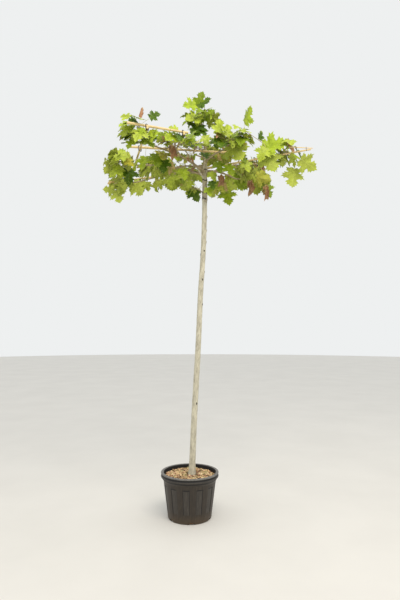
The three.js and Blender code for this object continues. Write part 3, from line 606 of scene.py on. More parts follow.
# Withered leaves, placed as the solids' sprigs are: leaf tip, heading, elevation, length, face.
WITHERED = {
    "front_mid": [(-116, -330, 2180, -80, -76, 78, 60), (-99, -330, 2146, -60, -84, 84, -90),
                  (-80, -305, 2168, -30, -72, 74, -120), (-127, -210, 2095, -110, -80, 84, 60),
                  (-112, -190, 2112, -40, -74, 80, -60)],
    "trunk_right": [(187, -10, 2080, -150, -76, 78, -60), (215, 6, 2092, -20, -70, 74, -100)],
    "right_front": [(330, -150, 2270, -20, -40, 62, -80)],
    "back_right": [(405, 200, 2075, -140, -80, 96, -60), (428, 190, 2100, -60, -76, 88, -120),
                   (396, 196, 2120, -100, -70, 80, 60), (519, 200, 2040, -90, -84, 104, -60),
                   (540, 214, 2056, -30, -78, 96, -120), (506, 205, 2080, -130, -74, 88, 60)],
}
ROLLED = dict(length=0.9, clearance=4)
PLACED_CLEARANCE = 1.5


def sprig_blade(x, y, z, heading, elevation, length, face):
    """A leaf by its tip, the way it points and the way its upper side turns."""
    along = direction(math.radians(heading), math.radians(elevation))
    upward = direction(math.radians(face), SPRIG["tilt"])
    return make_blade(np.array((x, y, z), float) - along * length, along, upward, length,
                      SPRIG["cup"])


def spur_paths(mass, random):
    """The spurs that stand in this mass's own space, from places along every bough."""
    normals, offsets = space_of(mass["name"])
    paths = []
    for name in BOUGHS:
        ends = bough_ends(name)
        curve, length = bezier(*ends), np.linalg.norm(ends[2] - ends[0])
        span = SPURS["last"] - SPURS["first"]
        count = int(length * span / SPURS["every"])
        for k in range(count):
            share = SPURS["first"] + span * (k + 0.5) / count
            start = curve(share)
            if (start @ normals - offsets > -CLEARANCE["space"]).any():
                continue
            ahead = ahead_on(curve, share, 0.02)
            hand = 1 if k % 2 else -1
            turn = heading_of(ahead) + hand * dealt(random, SPURS["turn"])
            way = direction(turn, dealt(random, SPURS["rise"]))
            end = start + way * dealt(random, SPURS["length"])
            middle = (start + end) / 2 + np.array((0, 0, dealt(random, SPURS["sag"])))
            paths.append([start, middle, end])
    return paths


class Growth:
    """What grows in one mass: its stem, twigs and leaves, and the points that leaves take up."""

    def __init__(self, mass):
        self.mass, self.name = mass, mass["name"]
        self.stem, self.radii = bezier(*stem_ends(mass)), stem_radii(mass)
        self.twigs, self.side_twigs, self.leaves, self.placed = [], [], [], []
        random = seeded_random(mass["seed"])
        self.grow_twigs(random)
        self.nodes = [path[-1] for path in self.twigs] + [self.stem(1.0), self.stem(0.5)]
        for shoot in SHOOTS:
            if self.name in shoot["masses"]:
                self.nodes += [np.array(point, float) for point in shoot["path"][2:]]
        self.hang_sprigs()
        for path in self.twigs:
            self.deal(random, path, TWIG["leaves"], SOLID_RULE)
        self.nodes += [node for path in self.twigs for node in path[1:]]
        self.hang_withered()
        self.hang_more()
        self.grow_side_twigs()
        self.grow_spurs()

    def hang(self, blade, points, tone):
        """Adds a leaf whose place is known, on the nearest node."""
        self.placed.append(points)
        node = min(self.nodes, key=lambda n: np.linalg.norm(n - blade["base"]))
        self.leaves.append(dict(node=node, blade=blade, tone=tone))

    def deal(self, random, path, count, rule):
        """Adds the leaves that the seed deals out along a path."""
        for place in range(count):
            leaf = deal_leaf(random, self.mass, self.placed, path, place, count, rule)
            if leaf:
                self.leaves.append(leaf)

    def grow_twigs(self, random):
        """The twigs of the solids."""
        mass = self.mass
        foot_from, foot_to = DEAL["twig_foot"]
        reach, centre = np.array(mass["reach"], float), np.array(mass["centre"], float)
        for k in range(mass["twigs"]):
            start = self.stem(foot_from + (foot_to - foot_from) * (k + 0.5) / mass["twigs"])
            turn = k * GOLDEN_TURN + dealt(random, DEAL["twig_turn"])
            spread = direction(turn, dealt(random, DEAL["twig_rise"]))
            end = centre + reach * dealt(random, DEAL["twig_reach"]) * spread
            path = twig_path(mass, start, end, dealt(random, DEAL["twig_sag"]))
            if path:
                self.twigs.append(path)

    def hang_sprigs(self):
        """The leaves that have a set place in the solids."""
        for sprig, tone in zip(self.mass["sprigs"], SPRIG_TONES.get(self.name, ())):
            blade = sprig_blade(*sprig)
            points = test_points(blade)
            if is_free(points, self.mass, CLEARANCE["limb"]):
                self.hang(blade, points, tone)

    def hang_withered(self):
        """Withered leaves. One is rolled up, so it is tested along its midrib alone."""
        for sprig in WITHERED.get(self.name, ()):
            blade = sprig_blade(*sprig)
            along = np.outer(blade["along"], blade["along"])
            rolled = blade["base"] + (test_points(blade) - blade["base"]) @ along * ROLLED["length"]
            if is_free(rolled, self.mass, ROLLED["clearance"]):
                self.hang(blade, rolled, "withered")

    def hang_more(self):
        """The leaves of LEAVES_AT that lie nearest to this mass."""
        for *sprig, tone in LEAVES_AT:
            blade = sprig_blade(*sprig)
            middle = blade["base"] + blade["along"] * blade["length"] / 2
            nearest = min(MASSES.values(), key=lambda m: np.linalg.norm(middle - m["centre"]))
            points = test_points(blade)
            if nearest is self.mass and is_off_limbs(points, PLACED_CLEARANCE):
                self.hang(blade, points, tone)

    def grow_side_twigs(self):
        """Side twigs on the twigs and the stem, with smaller leaves."""
        mass, random = self.mass, seeded_random(self.mass["seed"] + FINE["seed"])
        for path in [*self.twigs, [self.stem(share) for share in FINE["stem"]]]:
            heading = heading_of(path[-1] - path[0])
            for k in range(THICK.get(self.name, FINE["side_twigs"])):
                start = along_path(path, dealt(random, FINE["foot"]))
                turn = heading + (1 if k % 2 else -1) * dealt(random, FINE["turn"])
                run = direction(turn, dealt(random, FINE["rise"])) * np.mean(mass["reach"])
                end = start + run * dealt(random, FINE["length"])
                side = twig_path(mass, start, end, dealt(random, FINE["sag"]))
                if side and is_inside(end[None], mass, 0):
                    self.side_twigs.append(side)
                    self.deal(random, side, FINE["leaves"], FINE_RULE)

    def grow_spurs(self):
        """Spurs on the boughs that run through this mass's space."""
        random = seeded_random(self.mass["seed"] + SPURS["seed"])
        for spur in spur_paths(self.mass, random):
            self.side_twigs.append(spur)
            self.deal(random, spur, SPURS["leaves"], SPUR_RULE)


@lru_cache(maxsize=None)
def grown_crown():
    """Every mass of the crown, fully grown."""
    return tuple(Growth(mass) for mass in MASSES.values())


# ---------- meshes


class Shape:
    """Faces gathered for one piece: corners in mm, faces, finishes and grain coordinates in m."""

    def __init__(self):
        self.points, self.faces, self.finish, self.grain, self.count = [], [], [], [], 0

    def add(self, points, faces, finish=0, grain=None):
        """Adds faces of one corner count. finish is one finish number or one for each face."""
        faces = np.asarray(faces)
        self.faces.append(faces + self.count)
        self.finish.append(np.broadcast_to(finish, len(faces)))
        self.grain.append(np.zeros((*faces.shape, 2)) if grain is None else grain)
        if points is not None:
            self.points.append(np.asarray(points, float))

    def close(self):
        """Ends one solid: the next faces count from the corners added after it."""
        self.count = sum(len(p) for p in self.points)

    def piece(self, name, materials, crease=40):
        """The mesh object, riding on the tree's one body."""
        points = np.concatenate(self.points) * MM
        corners = np.concatenate([f.ravel() for f in self.faces]).astype(np.int32)
        totals = np.concatenate([np.full(len(f), f.shape[1]) for f in self.faces])
        mesh = bpy.data.meshes.new(name)
        mesh.vertices.add(len(points))
        mesh.vertices.foreach_set("co", points.astype(np.float32).ravel())
        mesh.loops.add(len(corners))
        mesh.loops.foreach_set("vertex_index", corners)
        mesh.polygons.add(len(totals))
        starts = np.concatenate([[0], np.cumsum(totals)[:-1]]).astype(np.int32)
        mesh.polygons.foreach_set("loop_start", starts)
        finish = np.concatenate(self.finish).astype(np.int32)
        mesh.polygons.foreach_set("material_index", finish)
        mesh.update(calc_edges=True)
        grain = mesh.uv_layers.new(name="Grain")
        uv = np.concatenate([g.reshape(-1, 2) for g in self.grain]).astype(np.float32)
        grain.data.foreach_set("uv", uv.ravel())
        mesh.polygons.foreach_set("use_smooth", np.ones(len(totals), bool))
        mesh.set_sharp_from_angle(angle=math.radians(crease))
        for material in materials:
            mesh.materials.append(material)
        made = bpy.data.objects.new(name, mesh)
        bpy.context.scene.collection.objects.link(made)
        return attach(made, BODY)


def frames_along(points):
    """Two directions square to a path at each point, turning as little as they can."""
    tangents = np.gradient(points, axis=0)
    tangents /= np.linalg.norm(tangents, axis=1, keepdims=True)
    helper = np.array((0.0, 0, 1)) if abs(tangents[0][2]) < 0.9 else np.array((1.0, 0, 0))
    side = unit(np.cross(tangents[0], helper))
    sides = []
    for tangent in tangents:
        side = unit(side - tangent * side.dot(tangent))
        sides.append(side)
    sides = np.array(sides)
    return sides, np.cross(tangents, sides)


def add_tube(shape, points, radii, sides, finish=0):
    """A closed round skin along a path. radii is one for each ring, or rings by sides."""
    points, radii = np.asarray(points, float), np.asarray(radii, float)
    if radii.ndim == 1:
        radii = np.repeat(radii[:, None], sides, 1)
    across, over = frames_along(points)
    angles = turns(sides)[:, None]
    ring = np.cos(angles) * across[:, None] + np.sin(angles) * over[:, None]
    add_rings(shape, points[:, None] + ring * radii[..., None], finish)


def add_rings(shape, skin, finish=0):
    """A closed skin over rings of corners, with a fan on both ends and grain along it. finish is
    one finish number or one for each face between rings."""
    rings, sides = skin.shape[:2]
    middles = skin.mean(1)
    along = np.concatenate([[0], np.cumsum(np.linalg.norm(np.diff(middles, axis=0), axis=1))])
    girth = np.linalg.norm(skin - middles[:, None], axis=2).mean() * 2 * math.pi
    first = (np.arange(rings - 1)[:, None] * sides + np.arange(sides)).ravel()
    turned = (np.arange(rings - 1)[:, None] * sides + (np.arange(sides) + 1) % sides).ravel()
    quads = np.stack([first, turned, turned + sides, first + sides], 1)
    u = np.tile(np.arange(sides) / sides, rings - 1) * girth * MM
    step = girth / sides * MM
    low = np.repeat(along[:-1], sides) * MM
    high = np.repeat(along[1:], sides) * MM
    ways = (u, low), (u + step, low), (u + step, high), (u, high)
    grain = np.stack([np.stack(way, 1) for way in ways], 1)
    corners = np.concatenate([skin.reshape(-1, 3), middles[:1], middles[-1:]])
    shape.add(corners, quads, finish, grain)
    around, after = np.arange(sides), (np.arange(sides) + 1) % sides
    last = (rings - 1) * sides
    bottom = np.stack([after, around, np.full(sides, rings * sides)], 1)
    top = np.stack([last + around, last + after, np.full(sides, rings * sides + 1)], 1)
    end_finish = finish[0] if np.ndim(finish) else finish
    shape.add(None, np.concatenate([bottom, top]), end_finish)
    shape.close()


def waves(points, size, seed, count=8):
    """Smooth, seeded lumps of about that size in mm, mostly from -1 to 1."""
    rng = np.random.default_rng(seed)
    total = 0
    for _ in range(count):
        heading = unit(rng.normal(size=3)) * 2 * math.pi / size * rng.uniform(0.6, 1.7)
        total = total + np.sin(points @ heading + rng.uniform(0, 2 * math.pi))
    return total / (count / 2)


def lumps(points, rows):
    """Lumps of several sizes: the height and size of each in mm, and its seed."""
    return sum(height * waves(points, size, seed) for height, size, seed in rows)


# ---------- materials


def shade(colour, factor, warm=0.0):
    """A linear colour made lighter or darker, and warmer or cooler."""
    red, green, blue = (c * factor for c in colour[:3])
    return red * (1 + warm), green, blue * (1 - warm), 1


def mixed(first, second, share):
    """A linear colour at a share of the way from the first to the second."""
    return tuple(between(a, b, share) for a, b in zip(first, second))


def add_node(tree, kind, inputs, stops=(), **settings):
    """Adds a shader node with its settings and links. An input that is a node is linked from its
    first output. stops are places and colours on a colour ramp."""
    node = tree.nodes.new("ShaderNode" + kind)
    for name, value in settings.items():
        setattr(node, name, value)
    for name, value in inputs.items():
        if isinstance(value, bpy.types.Node):
            value = value.outputs[0]
        if isinstance(value, bpy.types.NodeSocket):
            tree.links.new(value, node.inputs[name])
        else:
            node.inputs[name].default_value = value
    for index, (place, colour) in enumerate(stops):
        marks = node.color_ramp.elements
        mark = marks[index] if index < len(marks) else marks.new(place)
        mark.position, mark.color = place, linear(colour)
    return node


def new_material(name):
    """An empty material and its node tree."""
    material = bpy.data.materials.new(name)
    material.use_nodes = True
    material.node_tree.nodes.clear()
    return material, material.node_tree


def pattern(tree, size_mm, limb=False, **inputs):
    """A pattern's inputs, its real size in mm along X, Y and Z, or round and along a limb."""
    if limb:
        source = add_node(tree, "UVMap", {}, uv_map="Grain").outputs["UV"]
    else:
        source = add_node(tree, "TexCoord", {}).outputs["Object"]
    place = add_node(tree, "Mapping", {
        "Vector": source, "Scale": [1 / (size * MM) for size in size_mm]})
    return {"Vector": place, "Scale": 1.0, **inputs}


def surface(tree, colour, height, depth_mm, roughness, ior=1.45, strength=1.0, gloss=0.5):
    """The end of each finish, a dielectric: its colour, its fine relief and its sheen."""
    bump = add_node(tree, "Bump", {
        "Height": height, "Distance": depth_mm * MM, "Strength": strength})
    shader = add_node(tree, "BsdfPrincipled", {
        "Base Color": colour, "Normal": bump, "Roughness": roughness, "IOR": ior,
        "Specular IOR Level": gloss})
    add_node(tree, "OutputMaterial", {"Surface": shader})


# Inputs and output of a mix node, by number: it has several of each name.
FACTOR, FIRST, SECOND, RESULT = 0, 6, 7, 2


def moulded_polypropylene(name, colour, roughness, dusty=True):
    """Recycled black polypropylene, moulded and left outdoors: a dull satin with faint flow
    streaks down its sides, and dried compost about its foot."""
    material, tree = new_material(name)
    flow = add_node(tree, "TexNoise", pattern(tree, (7, 7, 120), Detail=4, Roughness=0.6))
    body = add_node(tree, "ValToRGB", {"Fac": flow}, [
        (0.3, shade(colour, 0.7)), (0.52, colour), (0.75, shade(colour, 1.6))])
    if dusty:
        # Dried compost, thickest at the foot and gone by about 110 mm up.
        place = add_node(tree, "TexCoord", {}).outputs["Object"]
        height = add_node(tree, "SeparateXYZ", {"Vector": place}).outputs["Z"]
        low = add_node(tree, "MapRange", {
            "Value": height, "From Min": 0.11, "From Max": 0.0, "To Max": 0.8})
        specks = add_node(tree, "TexNoise", pattern(tree, (5, 5, 5), Detail=5, Roughness=0.7))
        dust = add_node(tree, "Math", {0: low, 1: specks}, operation="MULTIPLY")
        share = add_node(tree, "MapRange", {
            "Value": dust, "From Min": 0.18, "From Max": 0.52, "To Max": 0.7})
        body = add_node(tree, "Mix", {
            FACTOR: share, FIRST: body, SECOND: linear("#5d4b33")},
            data_type="RGBA").outputs[RESULT]
    grit = add_node(tree, "TexNoise", pattern(tree, (1.6, 1.6, 1.6), Detail=4, Roughness=0.55))
    surface(tree, body, grit, 0.25, roughness, 1.49, strength=0.6)
    return material


def pot_finishes():
    """The sunned side, the lip bleached grey by the sun and lit by a painted highlight, near-black
    painted shade in corners, recesses and under edges, and the lighter grey of the flutes and the
    ring under the lip."""
    colour = tuple(colours().pot)
    greyer = mixed(colour, linear("#4a4845"), 0.3)
    return [
        moulded_polypropylene("black_polypropylene_sunned", colour, 0.48),
        # The lip's grey: plastic bleached by the sun, made lighter still as a painted highlight.
        moulded_polypropylene("black_polypropylene_faded_and_painted_highlight", linear("#6d6a66"), 0.55, False),
        # Near-black painted shade for the groove, under the ring, the inside, and the flute walls
        # and heads.
        moulded_polypropylene("black_polypropylene_painted_shade", linear("#0d0b09"), 0.6, False),
        # A lighter grey for the flute floors and the ring under the lip.
        moulded_polypropylene("black_polypropylene_greyer", greyer, 0.5),
    ]


def bark(name, tones, depth_mm, roughness=0.8):
    """Young plane bark: smooth and matt, with fine corky pores set crosswise and faint cracks
    that run along the limb. The first tone is its darkest."""
    material, tree = new_material(name)
    patches = add_node(tree, "TexNoise", pattern(tree, (16, 70, 1), True, Detail=4, Roughness=0.6))
    streaks = add_node(tree, "TexNoise",
                       pattern(tree, (2.2, 26, 1), True, Detail=3, Roughness=0.6))
    both = add_node(tree, "Math", {0: patches, 1: streaks}, operation="ADD")
    level = add_node(tree, "Math", {0: both, 1: 0.5}, operation="MULTIPLY")
    body = add_node(tree, "ValToRGB", {"Fac": level}, zip((0.37, 0.46, 0.54, 0.64), tones))
    pores = add_node(tree, "TexVoronoi", pattern(tree, (7, 3.4, 1), True))
    spots = add_node(tree, "MapRange", {
        "Value": pores, "From Min": 0.2, "From Max": 0.1, "To Max": 0.5})
    body = add_node(tree, "Mix", {
        FACTOR: spots, FIRST: body, SECOND: tones[0]}, data_type="RGBA").outputs[RESULT]
    surface(tree, body, level, depth_mm, roughness)
    return material


def bamboo_skin(name, colour):
    """Dry bamboo cane: a hard straw-coloured skin with a low satin, streaked by its fibres."""
    material, tree = new_material(name)
    fibres = add_node(tree, "TexNoise", pattern(tree, (1.4, 90, 1), True, Detail=3, Roughness=0.6))
    stains = add_node(tree, "TexNoise", pattern(tree, (14, 60, 1), True, Detail=3, Roughness=0.5))
    body = add_node(tree, "ValToRGB", {"Fac": fibres}, [
        (0.3, shade(colour, 0.65)), (0.5, colour), (0.72, shade(colour, 1.25))])
    stained = add_node(tree, "ValToRGB", {"Fac": stains}, [
        (0.5, "#ffffff"), (0.72, "#b98f55")])
    body = add_node(tree, "Mix", {FACTOR: 0.6, FIRST: body, SECOND: stained},
                    data_type="RGBA", blend_type="MULTIPLY").outputs[RESULT]
    surface(tree, body, fibres, 0.12, 0.42, 1.5)
    return material


def plain_tone(name, dark, light, size_mm, roughness, depth_mm=0.1, ior=1.45):
    """A finish with two near tones in lumps of one size, and relief to match."""
    material, tree = new_material(name)
    lumps = add_node(tree, "TexNoise", pattern(tree, (size_mm,) * 3, Detail=4, Roughness=0.55))
    body = add_node(tree, "ValToRGB", {"Fac": lumps}, [(0.35, dark), (0.65, light)])
    surface(tree, body, lumps, depth_mm, roughness, ior)
    return material


def chip_wood(name, dark, light):
    """A flake of pine bark, dry and matt: lighter wood lies under its thin outer layers."""
    return plain_tone(name, dark, light, 7, 0.85, 0.5)


def young_bark(name, colour):
    """Bark of the last few years: thin, grey-brown and nearly smooth."""
    tones = (shade(colour, 0.4, 0.05), shade(colour, 0.8), shade(colour, 1.15),
             shade(colour, 1.6))
    return bark(name, tones, in_mm(sizes().bough_relief))


def bud_scale():
    """The one hard scale that covers a plane's bud: red-brown, with a low gloss."""
    return plain_tone("plane_bud_scale", "#5a3420", "#8a5a34", 2, 0.4, 0.05)


def leaf_finishes(tone):
    """Upper side, underside and main veins of one tone of leaf."""
    upper = tuple(getattr(colours(), tone))
    pale, rib = tuple(colours().underside), tuple(colours().stalk)
    lower = mixed(upper, pale, 0.35 if tone == "withered" else 0.55)
    vein = mixed(upper, rib, 0.7), shade(mixed(upper, rib, 0.9), 1.1)
    return [
        leaf_skin(f"plane_leaf_{tone}_upper", shade(upper, 0.75), shade(upper, 1.2, 0.04), 0.42),
        leaf_skin(f"plane_leaf_{tone}_underside", shade(lower, 0.85), shade(lower, 1.12), 0.65),
        plain_tone(f"plane_leaf_{tone}_vein", *vein, 8, 0.5),
    ]


def leaf_skin(name, dark, light, roughness):
    """One side of a plane leaf: a soft satin skin, quilted by the net of fine veins. The net is
    drawn a little coarser than life, so that it shows."""
    material, tree = new_material(name)
    mottle = add_node(tree, "TexNoise", pattern(tree, (22, 22, 22), Detail=3, Roughness=0.55))
    body = add_node(tree, "ValToRGB", {"Fac": mottle}, [(0.35, dark), (0.65, light)])
    net = add_node(tree, "TexVoronoi",
                   pattern(tree, (in_mm(sizes().vein_spacing),) * 3), feature="DISTANCE_TO_EDGE")
    lines = add_node(tree, "MapRange", {
        "Value": net, "From Max": 0.12, "To Min": 0.35, "To Max": 0.0})
    body = add_node(tree, "Mix", {
        FACTOR: lines, FIRST: body, SECOND: light}, data_type="RGBA").outputs[RESULT]
    # Brown freckles where late summer has scorched the blade.
    freckles = add_node(tree, "TexNoise", pattern(tree, (9, 9, 9), Detail=5, Roughness=0.65))
    scorch = add_node(tree, "MapRange", {
        "Value": freckles, "From Min": 0.66, "From Max": 0.74, "To Max": 0.75})
    body = add_node(tree, "Mix", {
        FACTOR: scorch, FIRST: body, SECOND: linear("#80602c")},
        data_type="RGBA").outputs[RESULT]
    surface(tree, body, net, 0.35, roughness, 1.37, strength=0.5, gloss=0.4)
    return material


# ---------- pot and mulch

# The collar's corners, each so far in from the rim and down from the top, and the lip's inside.
COLLAR = [(7.6, 37), (4, 31), (0.5, 28), (0, 26), (0, 20), (2.8, 18.5), (3.2, 13), (2.8, 8.5),
          (0, 7), (0, 3), (2, 0)]
LIP = dict(width=3, depth=4)
# Heights at which the wall has rings, close together where the flutes end.
WALL_RINGS = (24, 60, 110, 160, 205, 208, 211, 216, 223)
EDGE_RADIUS = 1.6
HUB = 0.5
# Columns round the pot, in degrees from a flute's middle or, at its sides, from the half angle.
FLUTE_SIDE = (0.5, 0.1, -0.35, -0.9, -1.45, -1.9, -2.3)
FLUTE_FLOOR = (-4, -2, 0, 2, 4)
FLUTE_BESIDE = (-15, -12.5, -10)
# How softly a flute's sides (degrees), foot and head (mm) run in; where its walls count as steep,
# and how far below its head it lies in shadow.
FLUTE = dict(side=1.8, foot=8, head=2.5, steep=0.35, sunk=0.5, shadow=7)
# Bands of finish by their lower edge, down from the top: the sun-bleached lip with a painted
# highlight, the groove in painted shade, the lighter grey ring and the underside in painted
# shadow. Inside, the wall is painted near-black as shade up to the lip.
BANDS = dict(rim=2, inside=3, lip=7.5, groove=19.5, ring=28.5, underside=38)


def outer_radius(z):
    """The wall's outer radius at a height."""
    share = (z - POT["foot_height"]) / (POT["collar_from"] - POT["foot_height"])
    return between(POT["base_radius"], POT["body_radius"], share)


def inner_radius(z):
    """The wall's inner radius at a height."""
    return outer_radius(z) - POT["wall"]


def rounded(corners, radius, steps=3):
    """A profile with each inner corner replaced by a small arc."""
    points = [corners[0]]
    for before, corner, after in zip(corners, corners[1:], corners[2:]):
        before, corner, after = (np.array(p, float) for p in (before, corner, after))
        reach = min(radius, np.linalg.norm(before - corner) / 2.1,
                    np.linalg.norm(after - corner) / 2.1)
        start = corner + unit(before - corner) * reach
        end = corner + unit(after - corner) * reach
        curve = bezier(start, corner, end)
        points.extend(map(tuple, curve(np.linspace(0, 1, steps + 1))))
    points.append(corners[-1])
    return points


def pot_profile():
    """The pot's half section, up its outside and down its inside."""
    height, rim, mouth = POT["height"], POT["rim_radius"], POT["mouth_radius"]
    start, floor = POT["collar_from"], POT["floor"]
    outside = [(POT["foot_radius"], 0), (POT["base_radius"], POT["foot_height"])]
    outside += [(outer_radius(z), z) for z in WALL_RINGS]
    collar = [(POT["body_radius"], start)]
    collar += [(rim - inset, height - drop) for inset, drop in COLLAR]
    collar += [(mouth + LIP["width"], height), (mouth, height - LIP["depth"])]
    inside = [(inner_radius(start), start), (inner_radius(floor), floor)]
    return rounded([(HUB, 0), *outside, *collar, *inside, (HUB, floor)], EDGE_RADIUS)


def flute_angles():
    """Columns round the pot, close together at the sides of each flute, in degrees."""
    side = [POT["flute_half_angle"] + offset for offset in FLUTE_SIDE]
    offsets = [*FLUTE_BESIDE, *(-a for a in side), *FLUTE_FLOOR, *side[::-1]]
    offsets += [-a for a in FLUTE_BESIDE[:0:-1]]
    step = 360 / POT["flutes"]
    return np.array([POT["first_flute"] + k * step + a
                     for k in range(POT["flutes"]) for a in offsets])


def smooth_step(value):
    """Rises softly from 0 to 1 as the value does."""
    value = np.clip(value, 0, 1)
    return value * value * (3 - 2 * value)


def pot_bands(z, depth, outside):
    """The finish of each face: 0 is sunned, 1 the sun-bleached lip with a painted highlight,
    2 near-black painted shade and 3 a lighter grey.
    """
    level, top = (z[:-1] + z[1:]) / 2, POT["height"]

    def band(lower, upper):
        return (outside[:-1] & (level > top - BANDS[lower]) & (level < top - BANDS[upper]))[:, None]

    depth, beside = depth[:-1], np.roll(depth, -1, 1)[:-1]
    steep = np.abs(beside - depth) > FLUTE["steep"]
    shaded = (depth > FLUTE["sunk"]) & (level > POT["flute_to"] - FLUTE["shadow"])[:, None]
    inside = (~outside[1:] & (level < top - BANDS["inside"]))[:, None]
    # The lip's top and outer band: bleached by the sun, and lighter still as a painted highlight.
    faded_and_painted_highlight = (outside[:-1] & (level > top - BANDS["lip"]) | (level > top - BANDS["rim"]))[:, None]
    # Painted shade: the groove, the band under the ring, the inside wall, the steep flute walls and
    # the flute heads are painted near-black.
    black = band("groove", "lip") | band("underside", "ring") | inside | steep | shaded
    # The ring under the lip and the flute floors take a lighter grey.
    greyer = band("ring", "groove") | (depth > POT["flute_depth"] / 2)
    return np.select([np.broadcast_to(faded_and_painted_highlight, depth.shape), black, greyer], [1, 2, 3])


def add_pot(shape):
    """The pot's wall, collar, floor and flutes."""
    profile = np.array(pot_profile())
    angles = flute_angles()
    step = 360 / POT["flutes"]
    offset = np.abs((angles - POT["first_flute"] + step / 2) % step - step / 2)
    side = smooth_step((POT["flute_half_angle"] - offset) / FLUTE["side"])
    z = profile[:, 1]
    run = smooth_step((z - POT["flute_from"]) / FLUTE["foot"])
    run *= smooth_step((POT["flute_to"] - z) / FLUTE["head"])
    outside = np.arange(len(z)) <= np.argmax(z)
    depth = POT["flute_depth"] * np.where(outside, run, 0)[:, None] * side
    radius = profile[:, :1] - depth
    turn = np.radians(angles)
    skin = np.stack([radius * np.cos(turn), radius * np.sin(turn),
                     np.repeat(z[:, None], len(angles), 1)], 2)
    finish = pot_bands(z, depth, outside).ravel()
    add_rings(shape, skin, finish)


def cut_drains(pot):
    """Cuts the six drain notches out of the foot, each with rounded upper corners."""
    cutters = Shape()
    middle = (POT["foot_radius"] + outer_radius(POT["drain_height"])) / 2
    half, top, reach = POT["drain_width"] / 2, POT["drain_height"], POT["drain_reach"]
    foot, corner = -3, 3.5
    outline = rounded([(-half, foot), (-half, top), (half, top), (half, foot)], corner)
    for k in range(POT["drains"]):
        turn = math.radians(POT["first_drain"] + 360 / POT["drains"] * k)
        out = np.array((math.cos(turn), math.sin(turn), 0))
        across = np.array((-math.sin(turn), math.cos(turn), 0))
        rings = [[out * r + across * x + np.array((0, 0, z)) for x, z in outline]
                 for r in (middle + reach, middle - reach)]
        # The notch walls take finish 2, the near-black painted shade of the pot's recesses.
        add_rings(cutters, np.array(rings), 2)
    tool = cutters.piece("drain_cutters", list(pot.data.materials))
    cut = pot.modifiers.new("drains", "BOOLEAN")
    cut.operation, cut.solver, cut.object = "DIFFERENCE", "EXACT", tool
    bpy.context.view_layer.objects.active = pot
    with bpy.context.temp_override(object=pot, active_object=pot, selected_objects=[pot]):
        bpy.ops.object.modifier_apply(modifier=cut.name)
    bpy.data.objects.remove(tool)


# The compost's mesh, and how far its lumpy top lies below the solid's, to leave room for chips.
COMPOST = dict(columns=120, rings=44, edge_ring=1.5, sunk=1.5, lumps=((1.8, 30, 5), (0.9, 9, 6)))
# A flake of bark. Lengths are in mm or in shares of its own length.
CHIP = dict(corners=7, shortest=0.25, width=(0.28, 0.7), thickness=(1.6, 4.2), bend=(-0.25, 0.25),
            lift=(1.4, 5.2), reach=0.42, off_trunk=26, uneven=0.4, tilt=0.2)


def soil_height(points):
    """The top of the compost: a plateau that falls a little to the wall, and its lumps."""
    radius = np.linalg.norm(points[..., :2], axis=-1)
    edge = inner_radius(POT["collar_from"]) - 2 * GAP
    share = np.clip((radius - SOIL["plateau_radius"]) / (edge - SOIL["plateau_radius"]), 0, 1)
    level = SOIL["level"] - SOIL["edge_drop"] * share
    return level + lumps(points * (1, 1, 0), COMPOST["lumps"]) - COMPOST["sunk"]


def add_compost(shape):
    """The compost under the chips, a closed body with a lumpy top."""
    low, edge = POT["floor"] + GAP, inner_radius(POT["collar_from"]) - 2 * GAP
    turn = turns(COMPOST["columns"])
    circle = np.stack([np.cos(turn), np.sin(turn), 0 * turn], 1)
    rings = [circle * radius + (0, 0, low) for radius in (HUB, inner_radius(low) - 2 * GAP)]
    for radius in (edge, *np.linspace(edge - COMPOST["edge_ring"], HUB, COMPOST["rings"])):
        ring = circle * radius
        ring[:, 2] = soil_height(ring)
        rings.append(ring)
    add_rings(shape, np.array(rings))


def add_chip(shape, rng, place, length, finish):
    """One flake of bark: an uneven outline with a bent, slightly thicker middle."""
    corners = CHIP["corners"]
    turn = np.sort(rng.uniform(0, 2 * math.pi, corners) * 0.35 + turns(corners) * 0.9)
    width = length * rng.uniform(*CHIP["width"])
    rim = np.stack([np.cos(turn) * length / 2, np.sin(turn) * width / 2], 1)
    rim *= rng.uniform(0.8, 1.1, (corners, 1))
    thick, bend = rng.uniform(*CHIP["thickness"]), rng.uniform(*CHIP["bend"])

    def level(points, height):
        x, y = points.T
        uneven = rng.uniform(-CHIP["uneven"], CHIP["uneven"], len(points))
        return np.stack([x, y, height + bend * x ** 2 / length * 2 + uneven], 1)

    rings = np.array([level(rim * 0.9, -thick / 2), level(rim, -thick / 6),
                      level(rim * 0.96, thick / 3), level(rim * 0.7, thick / 2)])
    yaw, tilt, roll = rng.uniform(0, 2 * math.pi), *rng.normal(0, CHIP["tilt"], 2)
    spin = np.array([[math.cos(yaw), -math.sin(yaw), 0], [math.sin(yaw), math.cos(yaw), 0],
                     [0, 0, 1]])
    tip = np.array([[math.cos(tilt), 0, math.sin(tilt)], [0, 1, 0],
                    [-math.sin(tilt), 0, math.cos(tilt)]])
    lean = np.array([[1, 0, 0], [0, math.cos(roll), -math.sin(roll)],
                     [0, math.sin(roll), math.cos(roll)]])
    add_rings(shape, rings @ (spin @ tip @ lean).T + place, finish)


